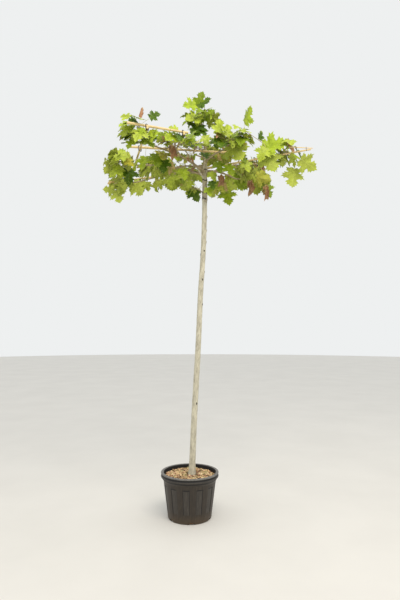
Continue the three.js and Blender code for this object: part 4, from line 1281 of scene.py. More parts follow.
def add_chips(shape, count, longest):
    """Bark chips over the whole top, clear of the trunk and inside the wall."""
    rng = np.random.default_rng(21)
    edge = inner_radius(POT["collar_from"])
    foot = np.array(TRUNK_PATH[0][:2])
    made = 0
    while made < count:
        length = longest * rng.uniform(CHIP["shortest"], 1) ** 1.4
        reach = length * CHIP["reach"]
        radius = (edge - reach) * math.sqrt(rng.uniform())
        turn = rng.uniform(0, 2 * math.pi)
        place = np.array((radius * math.cos(turn), radius * math.sin(turn), 0))
        if np.linalg.norm(place[:2] - foot) < CHIP["off_trunk"] + reach:
            continue
        place[2] = soil_height(place) + rng.uniform(*CHIP["lift"])
        # How many chips are golden, red, straw, dark and weathered: the left of the pot holds
        # redder ones and the right more weathered ones.
        lean = np.clip(0.5 + place[0] / 260, 0, 1)
        weights = np.array((0.3, 0.34 - 0.26 * lean, 0.22, 0.13, 0.06 + 0.34 * lean))
        tone = rng.choice(len(weights), p=weights / weights.sum())
        add_chip(shape, rng, place, length, tone)
        made += 1


# ---------- trunk, boughs, canes and ties

# Old bud scars on the trunk: height, heading in degrees, and how far each stands out.
BUD_SCARS = [(700, -60, 2), (905, 40, 2.4), (1180, 150, 2), (1322, -35, 2.6), (1480, -70, 2.2),
             (1530, -20, 2.4), (1640, 200, 2.2), (1662, -72, 3.4), (1722, -8, 3.6),
             (1796, 8, 3.4), (1885, 4, 3.8), (1915, 120, 2.4), (2010, 220, 2.8),
             (2075, -30, 2.6), (2150, 160, 3)]
BUD_SCAR = dict(half_width=6.5, half_height=9)
# Each knuckle of the trunk carries a ring scar: a wavy ridge with a groove in it.
RING_SCAR = dict(wobble=(2.5, 1.2), width=5.5, rise=1.5, groove=2.4, groove_width=2)
# The trunk's mesh: columns, and ring steps in its foot, its stem and its head; its lumps, the
# ribs of its foot, and how scarred a face is before it takes the scar's bark.
TRUNK_MESH = dict(columns=60, stem_from=330, head_from=1930, steps=(3, 5, 2),
                  lumps=((0.5, 60, 1), (0.35, 17, 2)), ribs=5, rib_rise=1.6, rib_height=45,
                  rough_from=1975, scarred=0.55)


def add_trunk(shape):
    """The trunk with its swellings, ring scars and old bud scars. Finish 1 is scar bark and 2
    the rougher bark of its head."""
    stops = (TRUNK_BOTTOM, TRUNK_MESH["stem_from"], TRUNK_MESH["head_from"], TRUNK_TOP)
    heights = np.concatenate([*map(np.arange, stops, stops[1:], TRUNK_MESH["steps"]), [TRUNK_TOP]])
    turn = turns(TRUNK_MESH["columns"])
    centres = np.array([trunk_point(z) for z in heights])
    radii = np.array([trunk_radius(z) for z in heights])
    out = np.stack([np.cos(turn), np.sin(turn), 0 * turn], 1)
    skin = centres[:, None] + out * radii[:, None, None]
    lift = lumps(skin, TRUNK_MESH["lumps"])
    foot = np.exp(-(heights - TRUNK_BOTTOM) / TRUNK_MESH["rib_height"])[:, None]
    lift += TRUNK_MESH["rib_rise"] * foot * np.sin(TRUNK_MESH["ribs"] * turn + 1.0)
    scar = np.zeros_like(lift)
    for height, _ in KNUCKLES:
        slow, fast = RING_SCAR["wobble"]
        centre = height + slow * np.sin(turn * 2 + height) + fast * np.sin(turn * 5 + height)
        off = heights[:, None] - centre
        near = np.exp(-((off / RING_SCAR["width"]) ** 2))
        groove = np.exp(-((off / RING_SCAR["groove_width"]) ** 2))
        lift += RING_SCAR["rise"] * near - RING_SCAR["groove"] * groove
        scar += near * (0.8 + 0.45 * waves(skin, 14, 3))
    for height, heading, stand in BUD_SCARS:
        across = (turn - math.radians(heading) + math.pi) % (2 * math.pi) - math.pi
        reach = np.hypot(across * radii[:, None] / BUD_SCAR["half_width"],
                         (heights[:, None] - height) / BUD_SCAR["half_height"])
        lift += stand * np.exp(-reach ** 2)
        scar += 1.1 * np.exp(-(reach * 1.2) ** 2)
    skin = skin + out * lift[..., None]
    head = heights[:, None] + 25 * waves(skin, 40, 4) > TRUNK_MESH["rough_from"]
    marked = np.where(scar > TRUNK_MESH["scarred"], 1, np.where(head, 2, 0))[:-1].ravel()
    add_rings(shape, skin, marked)


# A bough's mesh and leaf scars, the collar at its foot, and its side buds. The one that stands in
# the light is given paler bark, a painted highlight.
BOUGH = dict(ring_step=5, sides=14, scar_every=52, scar_rise=0.9, scar_width=4, collar=0.45,
             collar_length=11, bare=12, sunlit="centre_left")
SIDE_BUD = dict(reach=(0, 2.5, 5, 7.5), radii=(1.6, 2.1, 1.5, 0.3))
END_BUD = dict(reach=(-1, 1.5, 4, 6.5), radii=(0.9, 1.5, 1.1, 0.2))
BUD_SIDES = 7


def add_bud(shape, root, way, bud, size, finish):
    """A bud: a short spindle that leaves its root along the way."""
    add_tube(shape, [root + way * reach for reach in bud["reach"]], np.array(bud["radii"]) * size,
             BUD_SIDES, finish)


def bough_skin(ends, radii, seed):
    """A bough's path and ring radii, with the low swelling of a leaf scar every so often."""
    rng = np.random.default_rng(seed)
    length = np.linalg.norm(ends[2] - ends[0])
    count = max(int(length / BOUGH["ring_step"]), 4)
    share = np.linspace(0, 1, count + 1)
    along = share * length
    radius = between(*radii, share)
    scars = np.cumsum(rng.uniform(0.7, 1.3, 60) * BOUGH["scar_every"])
    scars = scars[scars < length]
    for scar in scars:
        radius = radius + BOUGH["scar_rise"] * np.exp(-((along - scar) / BOUGH["scar_width"]) ** 2)
    turn = turns(BOUGH["sides"])
    uneven = 0.05 * np.sin(2 * turn + seed) + 0.04 * np.sin(3 * turn + 2 * seed)
    drift = 0.05 * np.sin(along / 19 + seed)[:, None]
    return bezier(*ends)(share), radius[:, None] * (1 + uneven + drift), scars / length


def add_bough(shape, name, seed):
    """One bough out of its parent's heart, with a collar where it leaves it and side buds.
    Finish 1 is bud scale and 2 paler bark, a painted highlight on the bough in the light."""
    parent, _, _, radii, _ = BOUGHS[name]
    ends = bough_ends(name)
    path, skin_radii, scars = bough_skin(ends, radii, seed)
    parent_radius = trunk_radius(ends[0][2]) if parent == "trunk" else BOUGHS[parent][3][0]
    clear = np.maximum(np.linalg.norm(path - path[0], axis=1) - parent_radius, 0)
    if name != "leader":
        collar = BOUGH["collar"] * radii[0] * np.exp(-(clear / BOUGH["collar_length"]) ** 2)
        skin_radii = skin_radii + collar[:, None]
    # The bough in the light gets paler bark, a painted highlight.
    add_tube(shape, path, skin_radii, BOUGH["sides"], 2 if name == BOUGH["sunlit"] else 0)
    curve = bezier(*ends)
    for index, scar in enumerate(scars):
        at, ahead = curve(scar), unit(ahead_on(curve, scar))
        if np.linalg.norm(at - ends[0]) < parent_radius + BOUGH["bare"]:
            continue
        side = unit(np.cross(ahead, (0, 0, 1))) * (1 if index % 2 else -1)
        root = at + side * between(*radii, scar) * 0.7
        add_bud(shape, root, unit(side + ahead * 1.1 + np.array((0, 0, 0.4))), SIDE_BUD, 1, 1)


# A bamboo cane: its mesh, how far apart its joints are and how far off its ends, the rings about
# a joint, and the swellings and grooves there as height, place and width.
CANE = dict(sides=20, ring_step=30, joint_every=150, off_ends=25, chamfer=1.2, least_step=0.25,
            joint_rings=(-12, -6, -3.2, -1.8, -0.9, -0.3, 0.5, 1.4, 2.6, 5, 11),
            joint_shape=((0.75, 0, 1.7), (-0.35, 0, 9), (-0.55, -1.1, 0.5)), scar_at=-1.2,
            scar_half=0.8)


def add_cane(shape, name, seed):
    """A bamboo cane with a raised ring at each joint, waists beside it, and a cut end.
    Finish 1 is the dark scar line of each ring."""
    rng = np.random.default_rng(seed)
    ends = cane_ends(name)
    length = np.linalg.norm(ends[2] - ends[0])
    joints = np.cumsum(rng.uniform(0.8, 1.2, 12) * CANE["joint_every"]) - rng.uniform(40, 120)
    joints = joints[(joints > CANE["off_ends"]) & (joints < length - CANE["off_ends"])]
    stops = np.unique(np.concatenate([
        [0, CANE["chamfer"], length - CANE["chamfer"], length],
        np.arange(20, length, CANE["ring_step"]),
        (joints[:, None] + CANE["joint_rings"]).ravel()]))
    stops = stops[np.concatenate([[True], np.diff(stops) > CANE["least_step"]])]
    share = stops / length
    radius = cane_radius(name, share)
    for joint in joints:
        for rise, place, width in CANE["joint_shape"]:
            radius = radius + rise * np.exp(-((stops - joint - place) / width) ** 2)
    radius[[0, -1]] -= CANE["chamfer"] / 2
    off_scar = np.abs(stops[:-1, None] - joints - CANE["scar_at"])
    marked = np.repeat((off_scar < CANE["scar_half"]).any(1).astype(int), CANE["sides"])
    add_tube(shape, bezier(*ends)(share), radius, CANE["sides"], marked)


# The strap's section in shares of its width and thickness, and the button that locks it.
TIE_SECTION = [(-0.5, -0.3), (-0.42, -0.5), (0.42, -0.5), (0.5, -0.3),
               (0.5, 0.3), (0.42, 0.5), (-0.42, 0.5), (-0.5, 0.3)]
BUTTON = dict(sides=12, above=1.5, rings=[(2.4, -0.9), (2.7, 0.2), (2.2, 1.1)])


def add_tie(shape, low_name, high_name):
    """A moulded strap round two crossing canes, with the button that locks its ends."""
    ends = list(zip((low_name, high_name), crossing_shares(low_name, high_name)))
    low, high = (bezier(*cane_ends(name))(share) for name, share in ends)
    runs = [ahead_on(bezier(*cane_ends(name)), share) for name, share in ends]
    headings = [heading_of(run) for run in runs]
    slant = abs(headings[0] - headings[1]) / 2
    radius = max(cane_radius(name, share) for name, share in ends)
    wide = (radius + TIE["width"] / 2 * math.cos(slant)) / math.sin(slant) + TIE["slack"]
    tall = (high[2] - low[2]) / 2 + radius + TIE["slack"]
    heading = sum(headings) / 2
    across = np.array((math.cos(heading), math.sin(heading), 0))
    through = np.array((-math.sin(heading), math.cos(heading), 0))
    up = np.array((0.0, 0, 1))
    middle, thick = (low + high) / 2, TIE["thickness"]
    loop = rounded_loop(wide + thick / 2, tall + thick / 2, TIE["corner"] + 1.5)
    rings = []
    for index, (x, z) in enumerate(loop):
        run = unit(np.subtract(loop[(index + 1) % len(loop)], loop[index - 1]))
        outward = across * run[1] - up * run[0]
        centre = middle + across * x + up * z
        rings.append([centre + through * s * TIE["width"] + outward * t * thick
                      for s, t in TIE_SECTION])
    add_loop(shape, np.array(rings))
    button = middle + across * (wide + thick * 1.1) + up * BUTTON["above"]
    rings = [[button + (through * math.sin(a) + up * math.cos(a)) * radius + across * lift
              for a in turns(BUTTON["sides"])] for radius, lift in BUTTON["rings"]]
    add_rings(shape, np.array(rings)[:, ::-1])


# The rod that lengthens the right cane, and where thread binds the two: shares of the rod.
SPLICE = dict(start=(604, -198, 2279), end=(746, -211, 2268), radii=(3.4, 2.2),
              bound=(0.3, 0.72), thread=1.1, over=5.5, beside=5.8)


def add_splice(shape):
    """The thin rod over the right cane's tip."""
    start, end = (np.array(SPLICE[key], float) for key in ("start", "end"))
    share = np.array([0, 0.01, 0.2, 0.32, 0.34, 0.36, 0.6, 0.78, 0.8, 0.82, 0.99, 1])
    radii = between(*SPLICE["radii"], share)
    radii[[4, 8]] += 0.7
    radii[[0, -1]] -= 0.5
    add_tube(shape, between(start, end, share[:, None]), radii, 14)


def add_binding(shape, share):
    """One turn of thread round the rod and the cane under it."""
    start, end = (np.array(SPLICE[key], float) for key in ("start", "end"))
    rod = between(start, end, share)
    low, _, high = cane_ends("right")
    run = unit(high - low)
    cane = low + run * (rod - low).dot(run)
    middle, up = (rod + cane) / 2, unit(rod - cane)
    reach = np.linalg.norm(rod - cane) / 2
    side = np.cross(run, up)
    rings = []
    for a in turns(28):
        rise, aside = up * math.cos(a), side * math.sin(a)
        centre = middle + rise * (reach + SPLICE["over"]) + aside * SPLICE["beside"]
        rings.append([centre + ((rise + aside) * math.cos(b) + run * math.sin(b)) * SPLICE["thread"]
                      for b in turns(7)])
    add_loop(shape, np.array(rings))


def rounded_loop(half_width, half_height, corner, steps=5):
    """A closed rectangle with round corners, counter-clockwise."""
    points = []
    for sx, sz, start in ((1, 1, 0), (-1, 1, 90), (-1, -1, 180), (1, -1, 270)):
        for k in range(steps + 1):
            turn = math.radians(start + 90 * k / steps)
            points.append((sx * (half_width - corner) + corner * math.cos(turn),
                           sz * (half_height - corner) + corner * math.sin(turn)))
    return points


def add_loop(shape, rings):
    """A closed ring-shaped skin: the last ring joins the first."""
    count, sides = rings.shape[:2]
    near = np.arange(count)[:, None] * sides
    far = (np.arange(count)[:, None] + 1) % count * sides
    here, beside = np.arange(sides), (np.arange(sides) + 1) % sides
    quads = np.stack([near + here, far + here, far + beside, near + beside], 2).reshape(-1, 4)
    shape.add(rings.reshape(-1, 3), quads)
    shape.close()


# ---------- twigs, stalks and leaves

# Half of a leaf's toothed outline, from its stalk to its tip, in leaf lengths.
LEAF_EDGE = [
    (0.04, -0.03), (0.13, -0.07), (0.22, -0.03), (0.385, -0.055), (0.325, 0.035), (0.37, 0.08),
    (0.24, 0.165), (0.33, 0.18), (0.445, 0.165), (0.415, 0.245), (0.555, 0.275), (0.49, 0.335),
    (0.605, 0.46), (0.465, 0.43), (0.425, 0.5), (0.32, 0.455), (0.185, 0.52), (0.215, 0.6),
    (0.345, 0.66), (0.235, 0.7), (0.26, 0.8), (0.15, 0.81), (0.13, 0.895), (0.055, 0.905),
]
LEAF_VEINS = [((0, 0.0), (0, 0.985), 0.016), ((0, 0.03), (0.565, 0.44), 0.013),
              ((0, 0.03), (-0.565, 0.44), 0.013), ((0.03, 0.035), (0.36, -0.038), 0.009),
              ((-0.03, 0.035), (-0.36, -0.038), 0.009)]
VEIN_TURNS = (0, 0.943, 1.77, 3.2)
SIDE_VEINS = [((0, 0.34), (0.32, 0.65)), ((0, 0.52), (0.25, 0.775)), ((0, 0.7), (0.14, 0.88)),
              ((0.26, 0.22), (0.43, 0.19)), ((0.3, 0.25), (0.405, 0.475))]

# Rings of corners between a leaf's hub and its edge, and half its thickness in leaf lengths.
LEAF_RINGS = (0.3, 0.55, 0.79, 1.0)
LEAF_BODY = 0.0055
# How leaves differ from the pattern: folds, waves and curls, in leaf lengths.
LEAF_FORMS = dict(
    green=dict(fold=(-0.02, 0.3), wave=(0.012, 0.04), phase=(0, 6.3), curl=(-0.1, 0.45),
               pleat=(0.05, 0.13), sway=(-0.06, 0.06), width=(0.92, 1.06), lean=(-0.06, 0.06)),
    withered=dict(fold=(0.5, 1.0), wave=(0.05, 0.09), phase=(0, 6.3), curl=(0.5, 1.1),
                  sway=(-0.12, 0.12), width=(0.55, 0.75), roll=(0.16, 0.26), lean=(-0.1, 0.1)),
)


@lru_cache(maxsize=None)
def leaf_pattern():
    """The blade's corners as across and along, and its faces: rings round the hub."""
    left = [(-x, y) for x, y in reversed(LEAF_EDGE)]
    edge = np.array([(0, 0.005), *LEAF_EDGE, (0, 1), *left], float)
    hub = np.array(LEAF_HUB, float)
    rings = [between(hub, edge, share) for share in LEAF_RINGS[:-1]]
    # Inside the edge the rings run smoothly past the teeth.
    smooth = [(ring + np.roll(ring, 1, 0) + np.roll(ring, -1, 0)) / 3 for ring in rings]
    spots = np.concatenate([hub[None], *smooth, edge])
    count = len(edge)
    around, after = np.arange(count), (np.arange(count) + 1) % count
    triangles = [np.stack([np.zeros(count, int), 1 + around, 1 + after], 1)]
    quads = []
    for ring in range(len(LEAF_RINGS) - 1):
        low, high = 1 + ring * count, 1 + (ring + 1) * count
        quads.append(np.stack([low + around, high + around, high + after, low + after], 1))
    rim = np.arange(len(spots) - count, len(spots))
    return spots, np.concatenate(triangles), np.concatenate(quads), rim


def leaf_form(rng, kind):
    """How one leaf differs from the pattern. Only a withered one is rolled up."""
    form = {name: rng.uniform(*bounds) for name, bounds in LEAF_FORMS[kind].items()}
    return dict(pleat=0.05, roll=0) | form


def formed(blade, form, spots, rise):
    """Places of a leaf's corners. rise lifts them out of the middle of the blade."""
    across, along = spots[:, 0], spots[:, 1]
    x = across * form["width"] * (1 + form["lean"] * np.sign(across)) + form["sway"] * along ** 2
    reach = np.hypot(across, along - LEAF_HUB[1])
    turn = np.arctan2(along - LEAF_HUB[1], across)
    # Folded along the midrib, and its tip curled down.
    lift = form["fold"] * np.sqrt(x * x + 0.0009) - form["curl"] * np.maximum(along - 0.55, 0) ** 2
    # Five broad waves round the blade, and eleven finer ones towards its edge.
    lift += form["wave"] * np.sin(5 * turn + form["phase"]) * np.minimum(reach * 2.2, 1.3)
    lift += form["wave"] * 0.6 * np.sin(11 * turn + 2 * form["phase"]) * reach * 1.6
    # The blade stands up between its main veins, which lie in the valleys.
    from_rib = np.arctan2(np.abs(across), along - 0.03)
    share = np.clip(np.interp(from_rib, VEIN_TURNS, range(4)), 0, 3) % 1
    lift += form["pleat"] * np.sin(math.pi * share) * np.hypot(across, along - 0.03)
    if form["roll"]:
        bend = np.clip(x / form["roll"], -2.2, 2.2)
        x, lift = form["roll"] * np.sin(bend), lift * 0.35 + form["roll"] * (1 - np.cos(bend))
    return blade_points(blade, x, along, lift + rise)


def add_leaf(shape, blade, form):
    """One leaf as a thin closed body with its main veins. Finishes 0, 1 and 2 are its upper side,
    its underside and its veins."""
    spots, triangles, quads, rim = leaf_pattern()
    reach = np.hypot(spots[:, 0], spots[:, 1] - LEAF_HUB[1])
    body = LEAF_BODY * np.clip(1 - reach / 0.75, 0.35, 1)
    body[rim] = 0
    above = formed(blade, form, spots, body)
    below = formed(blade, form, np.delete(spots, rim, 0), -np.delete(body, rim))
    corners = np.concatenate([above, below])
    inner = len(spots) - len(rim)
    under = np.concatenate([len(spots) + np.arange(inner), rim])
    shape.add(corners, triangles)
    shape.add(None, quads)
    shape.add(None, under[triangles][:, ::-1], 1)
    shape.add(None, under[quads][:, ::-1], 1)
    shape.close()
    ribs = [(start, end, width, 7) for start, end, width in LEAF_VEINS]
    ribs += [((sx * a[0], a[1]), (sx * b[0], b[1]), 0.007, 3) for a, b in SIDE_VEINS
             for sx in (1, -1)]
    for start, end, width, steps in ribs:
        share = np.linspace(0, 1, steps + 1)[:, None]
        line = between(np.array(start), np.array(end), share)
        middle = formed(blade, form, line, 0.0)
        onward = np.cross(*frames_along(middle))
        size = width * blade["length"] * (1 - 0.72 * share)
        flat = np.cross(blade["out"], unit(middle[-1] - middle[0]))
        turned = flat - (flat * onward).sum(1, keepdims=True) * onward
        turned /= np.linalg.norm(turned, axis=1, keepdims=True)
        lifted = np.cross(onward, turned)
        rings = np.stack([middle + turned * size * 0.5, middle + lifted * size * 0.62,
                          middle - turned * size * 0.5, middle - lifted * size * 0.75], 1)
        add_rings(shape, rings, 2)


# A stalk's thickness along it: swollen where it clasps the twig, and slim at the blade.
STALK = dict(sides=7, shares=(0, 0.06, 0.14, 0.35, 0.6, 0.85, 1.0),
             swell=(1.7, 1.75, 1.15, 0.95, 0.85, 0.9, 0.75))


def add_stalk(shape, node, blade, rng):
    """A leaf stalk: swollen where it clasps the twig, arched, and running on into the midrib."""
    base = blade["base"]
    span = np.linalg.norm(base - node)
    control = (node + base) / 2 + np.array((0, 0, span * rng.uniform(0.02, 0.16)))
    control = control * 0.6 + (base - blade["along"] * span * 0.4) * 0.4
    path = bezier(node, control, base + blade["along"] * blade["length"] * 0.012)
    thick = 0.55 + blade["length"] * 0.0055
    add_tube(shape, path(STALK["shares"]), thick * np.array(STALK["swell"]), STALK["sides"])


# How much thicker a twig, a mass's stem and a shoot are at a leaf scar.
SCAR_SWELL = dict(twig=1.28, stem=1.12, shoot=1.25)


def add_twig(shape, path, radii, seed):
    """A twig that turns a little at each leaf scar, ending in a bud."""
    rng = np.random.default_rng(seed)
    share = np.linspace(0, 1, 11)
    fine = np.array([along_path(path, part) for part in share])
    fine[1:-1] = (fine[:-2] + fine[1:-1] * 2 + fine[2:]) / 4
    fine[2:-1] += rng.normal(0, 0.5, fine[2:-1].shape)
    radius = between(*radii, share)
    radius[2::3] *= SCAR_SWELL["twig"]
    add_tube(shape, fine, radius, 8)
    add_bud(shape, fine[-1], unit(fine[-1] - fine[-2]), END_BUD, radii[1], 0)


# ---------- what each leaf is dealt

# Tones of leaf, and how many in a hundred leaves of a mass are of each.
TONES = ("bright", "fresh", "mid", "dark", "yellow", "withered")
USUAL_TONES = (16, 26, 25, 17, 9, 7)
MASS_TONES = {
    "top": (22, 30, 28, 16, 4, 0),
    "right_front": (22, 26, 22, 14, 12, 4),
    "right_end": (34, 27, 18, 10, 8, 3),
    "trunk_right": (10, 22, 26, 22, 4, 16),
    "front_left": (22, 28, 24, 14, 10, 2),
    "left_edge": (18, 26, 28, 18, 9, 1),
    "centre_front": (10, 24, 30, 22, 8, 6),
    "back_right": (16, 25, 25, 20, 4, 10),
}


def leaf_tone(rng, mass_name):
    """The tone of a leaf of this mass, dealt out by its shares."""
    weights = np.array(MASS_TONES.get(mass_name, USUAL_TONES), float)
    return TONES[rng.choice(len(TONES), p=weights / weights.sum())]


# ---------- sizes and colours to change


def colour_of(name, description, hex_colour):
    return bpy.props.FloatVectorProperty(name=name, description=description, subtype="COLOR",
                                         size=4, min=0, max=1, default=linear(hex_colour))


class PlaneTreeSizes(bpy.types.PropertyGroup):
    chip_count: bpy.props.IntProperty(
        name="Bark chips", description="Chips of bark mulch over the compost",
        default=900, min=1, max=1500)
    chip_length: bpy.props.FloatProperty(
        name="Longest chip", description="Length of the longest chip of bark mulch",
        default=0.034, min=0.01, max=0.06, unit="LENGTH")
    trunk_relief: bpy.props.FloatProperty(
        name="Trunk relief", description="Depth of the pores and cracks in the trunk's bark",
        default=0.0008, min=0, max=0.003, unit="LENGTH")
    bough_relief: bpy.props.FloatProperty(
        name="Bough relief", description="Depth of the grain in the bark of boughs and twigs",
        default=0.0005, min=0, max=0.002, unit="LENGTH")
    vein_spacing: bpy.props.FloatProperty(
        name="Vein spacing", description="Distance between the fine veins of a leaf",
        default=0.0035, min=0.001, max=0.01, unit="LENGTH")


class PlaneTreeColours(bpy.types.PropertyGroup):
    bright: colour_of("Bright leaf", "Young leaves in full light", "#a6b83e")
    fresh: colour_of("Fresh leaf", "Most leaves of the summer crown", "#9ab12a")
    mid: colour_of("Mature leaf", "Leaves that have darkened", "#7b931e")
    dark: colour_of("Deep leaf", "The oldest green leaves", "#4b690f")
    yellow: colour_of("Turning leaf", "Leaves that are turning yellow", "#b5b236")
    withered: colour_of("Withered leaf", "Dry leaves, rolled up", "#ae8568")
    underside: colour_of("Leaf underside", "The downy lower side that each tone leans to",
                         "#b5bc54")
    stalk: colour_of("Leaf stalk", "Stalks and main veins", "#d2cf86")
    trunk: colour_of("Trunk bark", "The pale bark of the trunk", "#c9c3ad")
    bough: colour_of("Bough bark", "The browner bark of boughs and twigs", "#a59676")
    cane: colour_of("Bamboo", "The dry skin of the canes", "#e2c98f")
    pot: colour_of("Pot", "The sunned black of the pot's side", "#30281f")
    mulch: colour_of("Bark mulch", "The golden brown of most chips", "#d9b788")


# ---------- operators


def sizes():
    return bpy.context.scene.plane_tree_sizes


def colours():
    return bpy.context.scene.plane_tree_colours


def in_mm(length):
    return length / MM


class PLANETREE_OT_pot(bpy.types.Operator):
    """Makes the ribbed nursery pot with its collar and drain notches"""
    bl_idname = "plane_tree.pot"
    bl_label = "Nursery pot"

    def execute(self, context):
        shape = Shape()
        add_pot(shape)
        pot = shape.piece("nursery_pot", pot_finishes(), crease=50)
        cut_drains(pot)
        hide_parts("pot")
        return {"FINISHED"}


class PLANETREE_OT_mulch(bpy.types.Operator):
    """Fills the pot with compost and covers it with bark chips"""
    bl_idname = "plane_tree.mulch"
    bl_label = "Compost and bark mulch"

    def execute(self, context):
        compost, chips = Shape(), Shape()
        add_compost(compost)
        add_chips(chips, sizes().chip_count, in_mm(sizes().chip_length))
        soil = compost.piece("compost", [plain_tone("compost_crumbly", "#553f2c", "#846849", 5,
                                                    0.95, 1.2)])
        golden = tuple(colours().mulch)
        tones = [
            chip_wood("bark_chip_golden", shade(golden, 0.7), shade(golden, 1.3)),
            chip_wood("bark_chip_red", "#94664a", "#cf9e80"),
            chip_wood("bark_chip_straw", "#cdaa78", "#f2debb"),
            chip_wood("bark_chip_dark", "#6b5037", "#98744f"),
            chip_wood("bark_chip_weathered", "#8f8458", "#c9bb82"),
        ]
        mulch = chips.piece("bark_chips", tones, crease=30)
        for piece in (soil, mulch):
            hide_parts("soil")
        return {"FINISHED"}


class PLANETREE_OT_trunk(bpy.types.Operator):
    """Makes the trunk with its swellings, ring scars and old bud scars"""
    bl_idname = "plane_tree.trunk"
    bl_label = "Trunk"

    def execute(self, context):
        shape = Shape()
        add_trunk(shape)
        pale = tuple(colours().trunk)
        relief_mm = in_mm(sizes().trunk_relief)
        smooth = (shade(pale, 0.5, 0.05), shade(pale, 0.8), pale, shade(pale, 1.2, -0.01))
        old = (shade(pale, 0.3, 0.1), shade(pale, 0.55, 0.08), shade(pale, 0.76, 0.05),
               shade(pale, 1.0, 0.03))
        scar = (shade(pale, 0.04, 0.1), shade(pale, 0.07, 0.1), shade(pale, 0.12), shade(pale, 0.2))
        trunk = shape.piece("trunk_bark", [bark("plane_bark_pale", smooth, relief_mm),
                                           bark("plane_bark_scar", scar, relief_mm, 0.9),
                                           bark("plane_bark_head", old, relief_mm)])
        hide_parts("trunk")
        return {"FINISHED"}


class PLANETREE_OT_boughs(bpy.types.Operator):
    """Makes the leader and the boughs, with their collars, leaf scars and side buds"""
    bl_idname = "plane_tree.boughs"
    bl_label = "Boughs"

    def execute(self, context):
        shape = Shape()
        for index, name in enumerate(BOUGHS):
            add_bough(shape, name, 300 + index)
        brown, pale = tuple(colours().bough), tuple(colours().trunk)
        # The trunk's pale colour on the bough in the light is a painted highlight.
        limbs = shape.piece("bough_bark", [young_bark("plane_bark_young", brown), bud_scale(),
                                           young_bark("plane_bark_painted_highlight", pale)])
        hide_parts(*[name if name == "leader" else f"bough_{name}" for name in BOUGHS])
        return {"FINISHED"}


class PLANETREE_OT_canes(bpy.types.Operator):
    """Makes the bamboo canes that hold the roof flat, with their joints"""
    bl_idname = "plane_tree.canes"
    bl_label = "Bamboo canes"

    def execute(self, context):
        shape = Shape()
        for index, name in enumerate(CANES):
            add_cane(shape, name, 400 + index)
        add_splice(shape)
        straw = tuple(colours().cane)
        canes = shape.piece("bamboo_canes", [bamboo_skin("bamboo_dry_skin", straw),
                                             bamboo_skin("bamboo_joint_scar", shade(straw, 0.3))])
        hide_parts(*[f"cane_{name}" for name in CANES])
        return {"FINISHED"}


class PLANETREE_OT_ties(bpy.types.Operator):
    """Makes the moulded straps that bind the canes where they cross"""
    bl_idname = "plane_tree.ties"
    bl_label = "Cane ties"

    def execute(self, context):
        shape = Shape()
        for low, high in TIES:
            add_tie(shape, low, high)
        for share in SPLICE["bound"]:
            add_binding(shape, share)
        ties = shape.piece("cane_ties", [plain_tone("black_vinyl_moulded", "#171717", "#2a2928",
                                                    6, 0.45, 0.1, 1.53)])
        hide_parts(*[f"tie_{low}_{high}" for low, high in TIES])
        return {"FINISHED"}


class PLANETREE_OT_twigs(bpy.types.Operator):
    """Makes each mass's stem, its twigs and side twigs, and the stalks of its leaves"""
    bl_idname = "plane_tree.twigs"
    bl_label = "Twigs and stalks"

    def execute(self, context):
        wood, stalks = Shape(), Shape()
        rng = np.random.default_rng(500)
        seed = 600
        for mass in grown_crown():
            share = np.linspace(0, 1, 16)
            radii = between(*mass.radii, share)
            radii[2::4] *= SCAR_SWELL["stem"]
            add_tube(wood, mass.stem(share), radii, 10)
            for twigs, radii in ((mass.twigs, TWIG["radius"]),
                                 (mass.side_twigs, FINE["radius"])):
                for path in twigs:
                    seed += 1
                    add_twig(wood, path, radii, seed)
            for leaf in mass.leaves:
                add_stalk(stalks, leaf["node"], leaf["blade"], rng)
        for shoot in SHOOTS:
            path = np.array(shoot["path"], float)
            curve = catmull_rom(path)
            fine = [curve(k, t) for k in range(len(path) - 1) for t in np.linspace(0, 0.8, 5)]
            radii = np.linspace(*shoot["radii"], len(fine) + 1)
            radii[3::5] *= SCAR_SWELL["shoot"]
            add_tube(wood, [*fine, path[-1]], radii, 9)
        green = tuple(colours().stalk)
        twigs = wood.piece("twigs", [young_bark("plane_bark_twig", tuple(colours().bough))])
        petioles = stalks.piece("leaf_stalks", [plain_tone(
            "plane_leaf_stalk", shade(green, 0.62), shade(green, 1.05), 9, 0.5)])
        for piece in (twigs, petioles):
            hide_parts(*FOLIAGE_NODES)
        return {"FINISHED"}


class PLANETREE_OT_leaves(bpy.types.Operator):
    """Makes the leaves, each with its own folds, and joins those of one tone"""
    bl_idname = "plane_tree.leaves"
    bl_label = "Leaves"

    def execute(self, context):
        rng = np.random.default_rng(700)
        shapes = {tone: Shape() for tone in TONES}
        for mass in grown_crown():
            for leaf in mass.leaves:
                tone = leaf.get("tone") or leaf_tone(rng, mass.name)
                form = leaf_form(rng, "withered" if tone == "withered" else "green")
                add_leaf(shapes[tone], leaf["blade"], form)
        for tone, shape in shapes.items():
            leaves = shape.piece(f"leaves_{tone}", leaf_finishes(tone), crease=60)
            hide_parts(*FOLIAGE_NODES)
        return {"FINISHED"}


# In metres: the round floor, the lamp to the right of the camera, and the camera, 3.2 m away.
FLOOR = dict(radius=18, thickness=0.02, sides=96)
LAMP = dict(size=(3.0, 2.2), watts=118, place=(0.9, -2.8, 4.6), tilt=43.5, turn=18)
CAMERA = dict(lens=30, sensor=36, place=(0, -3.185, 1.188), tilt=92.98, turn=-1.15)


def aim(thing, settings):
    """Puts a lamp or camera in its place, tilted up from straight down and turned, in degrees."""
    thing.location = settings["place"]
    thing.rotation_euler = (math.radians(settings["tilt"]), 0, math.radians(settings["turn"]))
    bpy.context.scene.collection.objects.link(thing)


